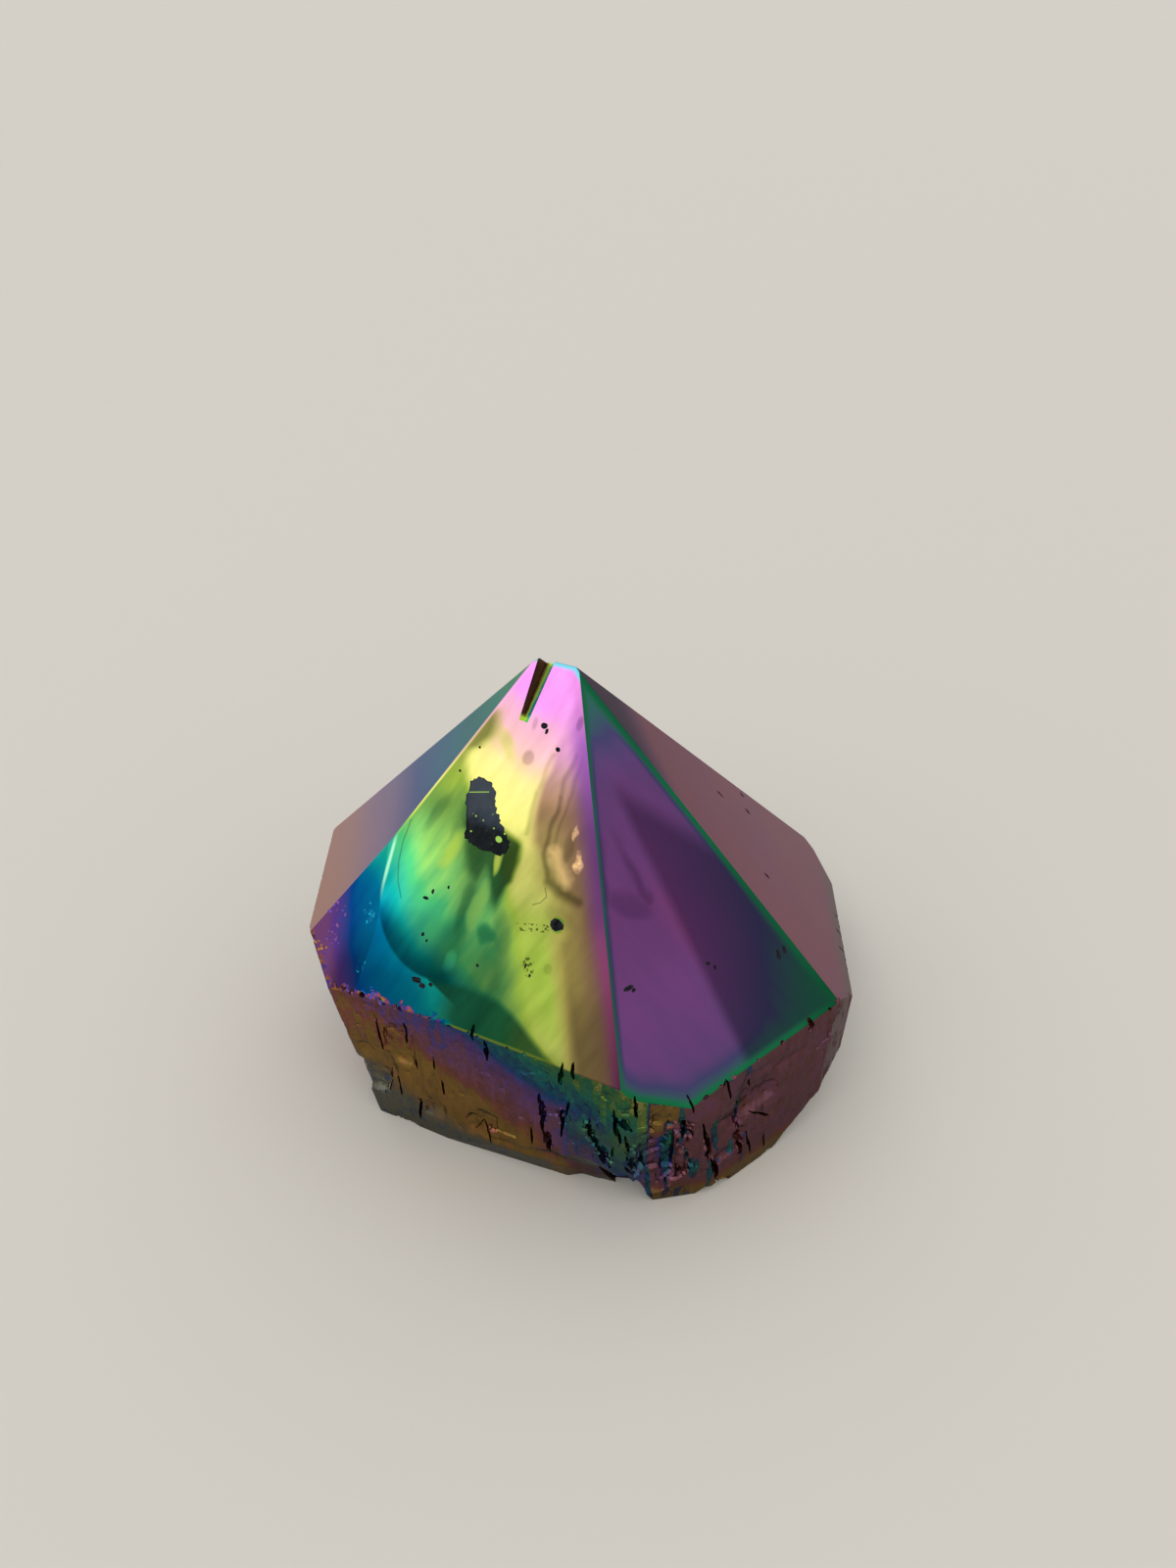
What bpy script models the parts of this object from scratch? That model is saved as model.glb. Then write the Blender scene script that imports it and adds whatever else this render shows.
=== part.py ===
"""A titanium aura quartz point: a broken crystal stump with a ground and polished tip.

The stone is one solid. It is built the way such a piece is made:

1. the raw stump: a block split along the side planes of the crystal and broken away below
2. the weathered skin of the stump: lumps, blocky ledges and grain
3. the ground form: six large polished faces, two narrow ones and the flat base; the crystal's
   own side planes take off what the skin lets stand proud, which leaves flats and hollows
4. natural slits in the raw sides, and the groove in the tip

Azimuth 0 faces -Y and grows towards +X. Lean is the angle between a plane's normal and +Z.
Everything is placed about the crystal's long axis, and moved over its own base at the end.
"""
import math
import random

import bmesh
import bpy
from mathutils import Matrix, Vector, noise

MM = 0.001

NAME = "quartz_point"
SEED = 7

# --- Driving dimensions, in millimetres and degrees ---

# Polished faces: azimuth, lean, height where the plane meets the crystal axis
POLISHED_FACES = {
    "front_left": (-25.5, 51.7, 49.7),
    "front_right": (34.8, 49.7, 52.4),
    "right": (94.7, 50.7, 53.1),
    "back_right": (154.1, 50.1, 51.6),
    "back_left": (216.6, 53.0, 54.0),
    "left": (-87.1, 47.9, 53.0),
    "left_corner_upper": (-37.4, 53.6, 54.3),
    "left_corner_lower": (-27.2, 53.8, 52.1),
}

# Sides of the raw stump: azimuth, undercut angle, distance from the axis at girdle height
RAW_SIDES = {
    "front_left": (-25.5, 1.5, 23.4),
    "front_corner": (-4.0, 4.5, 28.6),
    "front_tip": (10.0, 4.5, 30.2),
    "front_right": (37.7, -2.0, 30.3),
    "right_front_corner": (57.7, 0.0, 33.5),
    "right": (83.0, 4.0, 34.5),
    "right_back_corner": (110.6, 2.0, 39.6),
    "back_right": (154.1, 3.0, 34.3),
    "back_left": (216.6, 2.0, 23.2),
    "left": (-90.0, 4.0, 27.5),
    "left_front_corner": (-71.0, 10.0, 28.2),
}
GIRDLE_HEIGHT = 19.2

# Broken undercuts of the foot: azimuth, overhang angle, distance from the axis at the ground
UNDERCUTS = {
    "right": (74.0, 40.0, 28.2),
    "left": (-80.0, 32.0, 24.9),
    "back": (186.0, 30.0, 26.0),
}

# Long notch under the front left side, which leaves a small foot at the front corner
NOTCH_RISE = 17.5
NOTCH_RECESS = 26.0
NOTCH_END = 18.0
NOTCH_HEIGHT = 7.8
NOTCH_FLANK = 12.0
NOTCH_BOX = 60.0

BLOCK_SIZE = 110.0
ROOT_DEPTH = 4.0

# Weathered skin: mesh step, how far it starts outside the side planes, and its relief
SKIN_STEP = 1.3
SKIN_PROUD = 0.42
LUMP_SIZE = 8.0
LUMP_HEIGHT = 0.7
LUMP_SHIFT = Vector((0.0, 0.0, 3.0))
LEDGE_WIDTH = 4.2
LEDGE_LENGTH = 7.5
LEDGE_HEIGHT = 0.4
GRAIN_SIZE = 2.4
GRAIN_HEIGHT = 0.2
CALM_DEPTH = 4.0
CALM_SHARE = 0.45

# Groove in the tip: upper end and lower end on the front left face, and the widths there
GROOVE_TOP = (-1.0, 1.4, 50.6)
GROOVE_BOTTOM = (-3.6, -2.2, 45.5)
GROOVE_TOP_WIDTH = 1.9
GROOVE_BOTTOM_WIDTH = 0.9
GROOVE_OVERRUN = 1.6

# Slits in the raw sides: distance along the side, height, length, tilt, width
FRONT_LEFT_SLITS = (
    (-10.4, 14.1, 4.3, 3, 0.5),
    (-7.1, 15.5, 3.7, -3, 0.6),
    (-10.4, 6.6, 3.0, -3, 0.6),
    (-6.3, 3.8, 3.2, -5, 0.6),
    (2.2, 4.6, 3.0, 12, 0.6),
    (3.0, 18.2, 2.8, 8, 0.7),
    (9.3, 11.6, 5.4, 3, 1.1),
    (9.9, 7.4, 4.2, 8, 1.0),
    (11.8, 11.9, 5.2, -5, 0.8),
    (14.8, 11.4, 3.2, 10, 0.9),
    (16.1, 9.2, 4.2, 33, 1.2),
    (18.0, 13.6, 5.0, 4, 0.7),
)
FRONT_CORNER_SLITS = (
    (8.9, 14.6, 2.6, 40, 1.2),
    (9.4, 10.4, 3.2, 4, 0.7),
)
FRONT_RIGHT_SLITS = (
    (-6.6, 12.8, 4.4, 8, 1.1),
    (-4.0, 8.8, 6.2, 8, 0.8),
    (-2.5, 3.6, 4.4, 12, 0.8),
    (0.6, 9.6, 5.0, 8, 1.2),
    (0.9, 5.6, 4.4, -3, 1.3),
    (2.4, 12.2, 3.4, 9, 0.7),
    (10.7, 16.4, 1.7, 18, 1.1),
)
SLIT_DEPTH = 1.5
SLIT_ROUGHNESS = 0.3
HIDDEN_SLITS = 14
HIDDEN_SLIT_LENGTH = (2.4, 5.0)
HIDDEN_SLIT_WIDTH = (0.6, 1.1)
HIDDEN_SIDES = ("right", "back_right", "back_left", "left")

SMALLEST_EDGE = 0.02

COLOR = (0.28, 0.20, 0.34, 1.0)
METALLIC = 0.9
ROUGHNESS = 0.25


def heading(azimuth):
    """Unit vector along the ground for an azimuth in degrees."""
    angle = math.radians(azimuth)
    return Vector((math.sin(angle), -math.cos(angle), 0.0))


def leaning_normal(azimuth, lean):
    """Unit normal that leans away from +Z by an angle in degrees."""
    angle = math.radians(lean)
    return heading(azimuth) * math.sin(angle) + Vector((0.0, 0.0, math.cos(angle)))


def split_off(mesh, point, normal):
    """Remove what lies outside a plane and close the cut with one flat face."""
    geometry = mesh.verts[:] + mesh.edges[:] + mesh.faces[:]
    cut = bmesh.ops.bisect_plane(
        mesh, geom=geometry, plane_co=point, plane_no=normal, dist=1e-7, clear_outer=True
    )
    rim = [item for item in cut["geom_cut"] if isinstance(item, bmesh.types.BMEdge)]
    if rim:
        bmesh.ops.edgeloop_fill(mesh, edges=rim)
    bmesh.ops.recalc_face_normals(mesh, faces=mesh.faces[:])


def split_sides(mesh, proud):
    """Split a block along the crystal's side planes, left proud by some millimetres."""
    for azimuth, undercut, distance in RAW_SIDES.values():
        point = heading(azimuth) * (distance + proud) * MM
        point.z = GIRDLE_HEIGHT * MM
        split_off(mesh, point, leaning_normal(azimuth, 90.0 + undercut))


def side_frame(side):
    """Middle of a raw side at girdle height, its outward normal and its two tangents."""
    azimuth, undercut, distance = RAW_SIDES[side]
    out = leaning_normal(azimuth, 90.0 + undercut)
    middle = heading(azimuth) * distance * MM + Vector((0.0, 0.0, GIRDLE_HEIGHT * MM))
    along = Vector((0.0, 0.0, 1.0)).cross(heading(azimuth))
    up = out.cross(along)
    return middle, out, along, up


def new_object(name, mesh, collection):
    """Put a bmesh into an object of its own."""
    data = bpy.data.meshes.new(name)
    mesh.to_mesh(data)
    mesh.free()
    item = bpy.data.objects.new(name, data)
    collection.objects.link(item)
    return item


def keep_as_cutter(cutter, collection):
    """Keep a cutting shape out of sight, in the cutters' own collection."""
    for holder in list(cutter.users_collection):
        holder.objects.unlink(cutter)
    collection.objects.link(cutter)
    cutter.display_type = "WIRE"
    cutter.hide_render = True


def freeze(target):
    """Turn an object's modifiers into plain mesh."""
    graph = bpy.context.evaluated_depsgraph_get()
    graph.update()
    settled = bpy.data.meshes.new_from_object(target.evaluated_get(graph))
    target.modifiers.clear()
    old = target.data
    target.data = settled
    bpy.data.meshes.remove(old)


def combine(target, operation, cutter=None, collection=None):
    """Cut a solid with one cutter or with a collection of them, in place."""
    modifier = target.modifiers.new("cut", "BOOLEAN")
    modifier.operation = operation
    modifier.solver = "EXACT"
    if collection:
        modifier.operand_type = "COLLECTION"
        modifier.collection = collection
    else:
        modifier.object = cutter
    target.modifiers.new("triangles", "TRIANGULATE")
    freeze(target)


def add_notch_cutter(collection):
    """Leaning box that cuts the long notch below the front left side, up to the foot's flank."""
    middle, out, along, up = side_frame("front_left")
    rise = math.radians(NOTCH_RISE)
    recess = math.radians(NOTCH_RECESS)
    rim = along * math.cos(rise) + up * math.sin(rise)
    slope = up * math.cos(rise) - along * math.sin(rise)
    depth = out * math.cos(recess) - slope * math.sin(recess)
    height = rim.cross(depth)
    corner = middle + along * NOTCH_END * MM + up * (NOTCH_HEIGHT - GIRDLE_HEIGHT) * MM
    shear = Matrix.Identity(4)
    shear[0][2] = -math.tan(math.radians(NOTCH_FLANK))
    size = Matrix.Scale(NOTCH_BOX * MM, 4)
    shift = Matrix.Translation((-0.5, 0.5, 0.0))
    basis = Matrix((rim, depth, height)).transposed().to_4x4()
    bpy.ops.mesh.primitive_cube_add(size=1.0)
    cutter = bpy.context.object
    cutter.name = "notch_cutter"
    cutter.data.transform(Matrix.Translation(corner) @ basis @ size @ shear @ shift)
    keep_as_cutter(cutter, collection)
    return cutter


def make_stump(part_collection, cutter_collection):
    """The raw block, split along the crystal's sides and broken away under the foot."""
    mesh = bmesh.new()
    bmesh.ops.create_cube(mesh, size=BLOCK_SIZE * MM)
    split_sides(mesh, SKIN_PROUD)
    for azimuth, overhang, distance in UNDERCUTS.values():
        split_off(mesh, heading(azimuth) * distance * MM, leaning_normal(azimuth, 90.0 + overhang))
    split_off(mesh, Vector((0.0, 0.0, -ROOT_DEPTH * MM)), Vector((0.0, 0.0, -1.0)))
    stump = new_object(NAME, mesh, part_collection)
    combine(stump, "DIFFERENCE", cutter=add_notch_cutter(cutter_collection))
    remesh = stump.modifiers.new("skin", "REMESH")
    remesh.mode = "VOXEL"
    remesh.voxel_size = SKIN_STEP * MM
    freeze(stump)
    return stump


def ledge_height(place):
    """Blocky steps of the raw sides: tall cells, each with a height of its own."""
    turn = math.atan2(place.x, -place.y)
    radius = 30.0 * MM
    wander = noise.noise(place / (6.0 * MM)) * 1.4 * MM
    column = math.floor((turn * radius + wander) / (LEDGE_WIDTH * MM))
    row = math.floor((place.z + wander * 1.5) / (LEDGE_LENGTH * MM) + column * 0.37)
    return noise.cell(Vector((column + 0.5, row + 0.5, SEED + 0.5))) * 2.0 - 1.0


def relief_share(place):
    """How much relief a point takes: little beside the polished faces, all of it lower down."""
    clearance = min(
        (Vector((0.0, 0.0, peak * MM)) - place).dot(leaning_normal(azimuth, lean))
        for azimuth, lean, peak in POLISHED_FACES.values()
    )
    depth = min(max(clearance / (CALM_DEPTH * MM), 0.0), 1.0)
    return CALM_SHARE + (1.0 - CALM_SHARE) * depth * depth * (3.0 - 2.0 * depth)


def weather(stump):
    """Push the raw skin in and out: lumps, ledges and grain."""
    data = stump.data
    normals = [Vector(item.vector) for item in data.vertex_normals]
    for vertex, normal in zip(data.vertices, normals):
        place = vertex.co.copy()
        upright = 1.0 - abs(normal.z)
        lump = noise.noise(place / (LUMP_SIZE * MM) + LUMP_SHIFT) * LUMP_HEIGHT
        grain = noise.noise(place / (GRAIN_SIZE * MM)) * GRAIN_HEIGHT
        ledge = ledge_height(place) * LEDGE_HEIGHT * upright
        vertex.co = place + normal * (lump + grain + ledge) * relief_share(place) * MM


def grind(stump, cutter_collection):
    """Cut the weathered stump to the ground form: polished faces, flat base, side planes."""
    mesh = bmesh.new()
    bmesh.ops.create_cube(mesh, size=BLOCK_SIZE * MM)
    split_sides(mesh, 0.0)
    split_off(mesh, Vector((0.0, 0.0, 0.0)), Vector((0.0, 0.0, -1.0)))
    for azimuth, lean, peak in POLISHED_FACES.values():
        split_off(mesh, Vector((0.0, 0.0, peak * MM)), leaning_normal(azimuth, lean))
    form = new_object("ground_form", mesh, cutter_collection)
    keep_as_cutter(form, cutter_collection)
    combine(stump, "INTERSECT", cutter=form)


def add_slit_cutter(side, along, height, length, tilt, width, chance, collection):
    """Rough blade that leaves one slit in a raw side."""
    middle, out, right, up = side_frame(side)
    place = middle + right * along * MM + up * (height - GIRDLE_HEIGHT) * MM
    bpy.ops.mesh.primitive_ico_sphere_add(subdivisions=1, radius=0.5)
    cutter = bpy.context.object
    cutter.name = f"slit_{side}_{along:.0f}_{height:.0f}"
    for vertex in cutter.data.vertices:
        push = Vector([chance.uniform(-SLIT_ROUGHNESS, SLIT_ROUGHNESS) for axis in range(3)])
        vertex.co += push * 0.5
    roll = Matrix.Rotation(math.radians(tilt), 4, out)
    basis = Matrix((right, -out, up)).transposed().to_4x4()
    scale = Matrix.Diagonal((width * MM, 2.0 * SLIT_DEPTH * MM, length * MM, 1.0))
    cutter.data.transform(Matrix.Translation(place) @ roll @ basis @ scale)
    keep_as_cutter(cutter, collection)


def add_slits(collection):
    """All slits: the ones on the front by place, the ones behind by seeded chance."""
    chance = random.Random(SEED)
    for slit in FRONT_LEFT_SLITS:
        add_slit_cutter("front_left", *slit, chance, collection)
    for slit in FRONT_CORNER_SLITS:
        add_slit_cutter("front_corner", *slit, chance, collection)
    for slit in FRONT_RIGHT_SLITS:
        add_slit_cutter("front_right", *slit, chance, collection)
    for index in range(HIDDEN_SLITS):
        side = HIDDEN_SIDES[index % len(HIDDEN_SIDES)]
        along = chance.uniform(-12.0, 12.0)
        height = chance.uniform(3.0, 12.0)
        length = chance.uniform(*HIDDEN_SLIT_LENGTH)
        width = chance.uniform(*HIDDEN_SLIT_WIDTH)
        tilt = chance.uniform(-12.0, 12.0)
        add_slit_cutter(side, along, height, length, tilt, width, chance, collection)


def add_groove_cutter(collection):
    """Tapering four-sided bar with one edge down: the leaf-shaped groove in the tip."""
    top = Vector(GROOVE_TOP) * MM
    bottom = Vector(GROOVE_BOTTOM) * MM
    run = (top - bottom).normalized()
    top = top + run * GROOVE_OVERRUN * MM
    azimuth, lean, peak = POLISHED_FACES["front_left"]
    out = leaning_normal(azimuth, lean)
    across = out.cross(run).normalized()
    out = run.cross(across)
    bpy.ops.mesh.primitive_cone_add(
        vertices=4,
        radius1=GROOVE_BOTTOM_WIDTH / 2.0 * MM,
        radius2=GROOVE_TOP_WIDTH / 2.0 * MM,
        depth=(top - bottom).length,
    )
    cutter = bpy.context.object
    cutter.name = "tip_groove_cutter"
    basis = Matrix((across, out, run)).transposed().to_4x4()
    cutter.data.transform(Matrix.Translation((top + bottom) / 2.0) @ basis)
    keep_as_cutter(cutter, collection)


def carve(stump, collection):
    """Cut the slits and the groove into the ground stone."""
    details = bpy.data.collections.new("slits_and_groove")
    collection.children.link(details)
    add_slits(details)
    add_groove_cutter(details)
    combine(stump, "DIFFERENCE", collection=details)


def settle(stump):
    """Merge hair-thin leftovers and move the stone over the middle of its own footprint."""
    mesh = bmesh.new()
    mesh.from_mesh(stump.data)
    bmesh.ops.dissolve_degenerate(mesh, dist=SMALLEST_EDGE * MM, edges=mesh.edges[:])
    mesh.to_mesh(stump.data)
    mesh.free()
    places = [vertex.co for vertex in stump.data.vertices]
    low = Vector([min(place[axis] for place in places) for axis in range(3)])
    high = Vector([max(place[axis] for place in places) for axis in range(3)])
    middle = (low + high) / 2.0
    stump.data.transform(Matrix.Translation((-middle.x, -middle.y, -low.z)))
    stump.data.update()


def coated_stone():
    """Metallic violet coat of the stone."""
    material = bpy.data.materials.new("aura_coated_quartz")
    material.use_nodes = True
    surface = material.node_tree.nodes["Principled BSDF"]
    surface.inputs["Base Color"].default_value = COLOR
    surface.inputs["Metallic"].default_value = METALLIC
    surface.inputs["Roughness"].default_value = ROUGHNESS
    return material


def new_collection(name):
    """Collection of its own under the scene."""
    collection = bpy.data.collections.new(name)
    bpy.context.scene.collection.children.link(collection)
    return collection


def main():
    for item in list(bpy.data.objects):
        bpy.data.objects.remove(item, do_unlink=True)
    part_collection = new_collection("titanium_aura_quartz")
    cutter_collection = new_collection("cutters")
    stump = make_stump(part_collection, cutter_collection)
    weather(stump)
    grind(stump, cutter_collection)
    carve(stump, cutter_collection)
    settle(stump)
    stump.data.materials.clear()
    stump.data.materials.append(coated_stone())


main()
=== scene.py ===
"""Titanium aura quartz point: the fine stone and its rainbow coat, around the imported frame.

The stone is one piece. It is re-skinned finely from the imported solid, ground again to the same
planes, and then chipped, pitted and slit. Its coat is one sequence of film colours: every face
says where on that sequence it lies, from thin gold, through violet, blue, teal, lime and pink,
to the second violet and green.
"""
import math
import random
from functools import reduce

import bmesh
import bpy
from bpy.props import FloatProperty, FloatVectorProperty, IntProperty, PointerProperty
from mathutils import Matrix, Vector, noise


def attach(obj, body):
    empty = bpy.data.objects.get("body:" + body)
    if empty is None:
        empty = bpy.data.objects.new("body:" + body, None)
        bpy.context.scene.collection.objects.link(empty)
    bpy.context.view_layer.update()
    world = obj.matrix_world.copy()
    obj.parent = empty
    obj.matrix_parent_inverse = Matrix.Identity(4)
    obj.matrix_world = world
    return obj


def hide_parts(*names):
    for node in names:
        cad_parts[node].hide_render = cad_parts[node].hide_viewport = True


bl_info = {
    "name": "Aura Quartz Point",
    "version": (1, 0, 0),
    "blender": (4, 5, 0),
    "location": "3D View > Sidebar > Quartz",
    "description": "Builds a polished quartz point with a titanium rainbow coat",
    "category": "Object",
}

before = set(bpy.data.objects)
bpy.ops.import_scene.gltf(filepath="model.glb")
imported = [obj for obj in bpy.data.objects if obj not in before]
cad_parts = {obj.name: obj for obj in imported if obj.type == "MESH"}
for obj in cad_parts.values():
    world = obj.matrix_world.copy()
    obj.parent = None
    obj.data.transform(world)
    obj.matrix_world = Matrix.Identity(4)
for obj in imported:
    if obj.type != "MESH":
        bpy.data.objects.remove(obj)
bpy.context.view_layer.update()

MM = 0.001
UP = Vector((0, 0, 1))
EVEN = (1, 1, 1)
NODE = "quartz_point"
BODY = "root"

# All measures below are in millimetres and all turns in degrees.
# A place on a face is given as (across, down) from the point where the face meets the long axis.

# Where the crystal's long axis stands in the frame
AXIS = Vector((-4.078, -2.124, 0))

# Azimuth 0 faces -Y and grows towards +X; lean is the angle of a plane's normal from +Z
POLISHED_FACES = {
    "front_left": (-25.5, 51.7), "front_right": (34.8, 49.7), "right": (94.7, 50.7),
    "back_right": (154.1, 50.1), "back_left": (216.6, 53), "left": (-87.1, 47.9),
    "left_corner_upper": (-37.4, 53.6), "left_corner_lower": (-27.2, 53.8),
}
RAW_SIDES = {
    "front_left": (-25.5, 91.5), "front_corner": (-4, 94.5), "front_tip": (10, 94.5),
    "front_right": (37.7, 88), "right_front_corner": (57.7, 90), "right": (83, 94),
    "right_back_corner": (110.6, 92), "back_right": (154.1, 93), "back_left": (216.6, 92),
    "left": (-90, 94), "left_front_corner": (-71, 100),
}
GIRDLE_HEIGHT = 19.2
STEEPEST_POLISHED = 80

# The crease between the front left face and its blue corner bends round this point of the face
CREASE_BEND = (-5, 26)
CREASE_RADIUS = 7.9
CREASE_STRAIGHTENING = 0.42

# The ground form is cut from a cube, softened where it turns by more than an angle, and sliced into
# small cells, so that a pit touches only the cell it is in
BLANK_SIZE = 110
SHARPER_THAN = 20
CELL_SIZE = 2
CELLS_EACH_WAY = 20
CELL_SHIFT = 0.37

# The finished raw skin is shaded smooth up to this angle
SMOOTH_UP_TO = 28

# Blocky growth steps of the raw sides: width, height and depth of the blocks
BLOCKS = ((3.4, 5.6, 0.34), (1.6, 2.9, 0.2), (0.8, 1.4, 0.1))
BLOCK_WARP, BLOCK_WARP_SIZE = 0.5, 2.2
CALM_SIZE = 6

# The steps are deepest about a place on the front corner: across, down from the girdle
BUSY_PLACE = (10, 9)
BUSY_REACH = 11

# Sizes of the raw skin's coarse and fine grain and of its natural pits
GRAIN_SIZES = (1.1, 0.5)
RAW_PIT_SIZE = 0.9
RAW_PIT_SHIFT = Vector((9, 3, 5))

# The skin stands proud where it is ground away later, which is this close to the ground planes
PROUD = 0.35
GROUND_GAP = 0.2

# The raw skin spreads a little towards the ground; left of a place it is worn smooth there: the
# height where its relief starts, and the height over which it grows
FOOT_FLARE, FOOT_FLARE_HEIGHT = 0.45, 3.5
WORN_FOOT, WORN_LEFT_OF = (0.8, 3), 8

# Slits in the raw sides: distance along the side, height, length, tilt, width
SLITS = {
    "front_left": (
        (-10.4, 14.1, 4.1, 3, 0.5), (-7.1, 15.5, 3.5, -3, 0.6), (-6.2, 11.7, 1.3, 2, 0.4),
        (-10.4, 6.5, 2.8, -3, 0.5), (-8.7, 6.5, 2.8, 2, 0.4), (-6.3, 3.6, 3, -5, 0.6),
        (-3.7, 12.8, 1.4, -2, 0.4), (-3, 9.2, 1.7, 1, 0.4), (2.2, 4.2, 2.7, 12, 0.5),
        (1.2, 4.9, 2.2, 144, 0.3), (1.4, 20.6, 1.9, 2, 0.5), (3, 18.3, 2.4, 8, 0.7),
        (7.8, 7, 1.8, 0, 0.3), (9.3, 11.7, 5, 3, 0.9), (9.7, 7.2, 4, 7, 0.8),
        (11.8, 11.8, 5.3, -5, 0.7), (14.8, 11.2, 3.2, 10, 0.7), (16, 9, 4.4, 33, 1.3),
        (17.8, 13.9, 4.8, 4, 0.6), (18.7, 10.1, 5.1, 3, 0.5), (11.8, 19, 2.4, 0, 0.7),
        (13, 20, 1.4, 10, 0.4),
    ),
    "front_corner": (
        (8.9, 14.8, 2.4, 40, 1.1), (9.2, 11, 2.2, 4, 0.5), (9.8, 17.5, 2.6, 8, 0.6),
        (9.4, 6, 1.3, 34, 0.4),
    ),
    "front_right": (
        (-8.4, 14.2, 2.5, 6, 0.4), (-6.6, 13, 4, 8, 1), (-6.2, 16.7, 2.3, 7, 0.4),
        (-4, 8.9, 6, 8, 0.6), (-2.5, 3.3, 4.3, 12, 0.7), (0.6, 9.5, 4.8, 8, 0.9),
        (0.8, 5.4, 3.9, -3, 1), (-1.2, 15.2, 2.6, 12, 0.5), (2.1, 12.5, 3.1, 9, 0.5),
        (3.2, 11.5, 1.9, 11, 0.4), (3.7, 7.9, 3.2, 46, 0.4), (10.7, 16.9, 1.6, 18, 0.9),
        (2.3, 4.1, 3.4, 9, 0.4), (4.8, 2.7, 1.5, 7, 0.4), (-8.7, 2.7, 1.4, 14, 0.4),
        (-7.1, 3.9, 2.1, 11, 0.4),
    ),
}

# Seeded slits on each hidden side, and the spans of the same five measures
HIDDEN_SIDES = ("right", "back_right", "back_left", "left")
HIDDEN_SLITS = 12
HIDDEN_SPANS = ((-14, 14), (2.5, 16), (1.2, 5), (-14, 14), (0.35, 0.9))

# A slit is a row of blades of about this length, each drawn out by this factor
BLADE_LENGTH = 1.4
BLADE_OVERLAP = 1.7
PEBBLE_ROUGHNESS = 0.2

# Keeps the metal coat's colour at low angles, where plain metal turns white
EDGE_TINT = 0.6

# Painted reflection of a warm room: shares of green and of blue that the coat loses at full warmth
WARM_GREEN = 0.22
WARM_BLUE = 0.5
ROOM_WARMTH = 0.25

# Colours of the painted highlights on the tip's edge and the crease's crest, the left face's haze, bare
# stone, and the painted shade in pits
TIP_HIGHLIGHT_CYAN = "6CC6DA"
CREST_HIGHLIGHT_MINT = "BFF3DC"
PIT_SHADE_GREY = "24242C"
TAN_HAZE = (0.5, 0.4, 0.36, 1)
GREY_GIRDLE = (0.14, 0.15, 0.13, 1)
GREY_STONE = (0.1, 0.11, 0.09, 1)
BLUE_STONE = (0.05, 0.08, 0.13, 1)

# Slate grey of the bare flake: each channel's level, and how far it falls in the lower part
SLATE = (("Red", 0.03, 0.028), ("Green", 0.042, 0.037), ("Blue", 0.06, 0.053))

# Groove in the tip, about the crystal axis: its ends, its widths there, and how it lies
GROOVE_TOP = Vector((-1, 1.4, 50.6))
GROOVE_BOTTOM = Vector((-3.6, -2.2, 45.5))
GROOVE_WIDTHS = (1.3, 2.7)
GROOVE_OVERRUN = 1.6
GROOVE_LEAN = 20

# Chips along the girdle: face, side, count, from and to along the side, largest size
GIRDLE_CHIPS = (
    ("left_corner_lower", "front_left", 16, -16, -7, 1.3),
    ("left_corner_upper", "left_front_corner", 8, -4, 4, 1.3),
    ("front_left", "front_left", 12, -7, 14, 0.7), ("front_left", "front_corner", 4, 4, 11, 1),
    ("front_right", "front_right", 12, -12, 15, 0.9), ("front_right", "front_tip", 4, -4, 4, 0.8),
    ("right", "right", 12, -12, 12, 1.1), ("right", "right_front_corner", 5, -5, 5, 1.1),
    ("back_right", "back_right", 12, -15, 15, 1.1), ("back_left", "back_left", 12, -15, 15, 1.1),
    ("left", "left", 10, -12, 12, 1),
)

# Middles of the clusters of glints on the blue corner (small chips whose coat is painted bright), their
# number, spread, widths and lengths
GLINT_CLUSTERS = {
    "left_corner_upper": (
        (-9.8, 34.3), (-9.2, 34.9), (-15.1, 36.3), (-14, 35.7), (-13.4, 38.9), (-13, 39.5),
        (-14.4, 40.6), (-13.4, 42.5),
    ),
    "left_corner_lower": ((-12.6, 37.5), (-10.4, 39.1)),
}
GLINTS = 64
GLINT_SPREAD = (0.5, 0.6)
GLINT_WIDTHS = (0.15, 0.4)
GLINT_LENGTHS = (0.25, 0.7)
GLINT_DEPTH = 0.2

# Undercut at the foot of the front left side: its reach, how it changes along and up, and its most
UNDERCUT = (25.9, -0.1, 0.3, 26.7)
# It fades out above, past its left and right ends, and inwards: each with the fade's width
UNDERCUT_TOP, UNDERCUT_LEFT, UNDERCUT_RIGHT = (4.2, 1.6), (-11, 2.5), (10, 1.5)
UNDERCUT_INSIDE = (-2.4, 0.8)

# Front foot: a slanting line on the front corner (along, height), and the block that is cut off by it
FOOT_SLANT = ((9.2, 5.5), (11.9, 0.3))
FOOT_BLOCK = (3.8, 6.5, 7)
# The chip on the foot's right (along, height), and its size
FOOT_CHIP = (-2.7, 0)
FOOT_CHIP_SIZE = (5, 2.2, 2.4)

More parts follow.
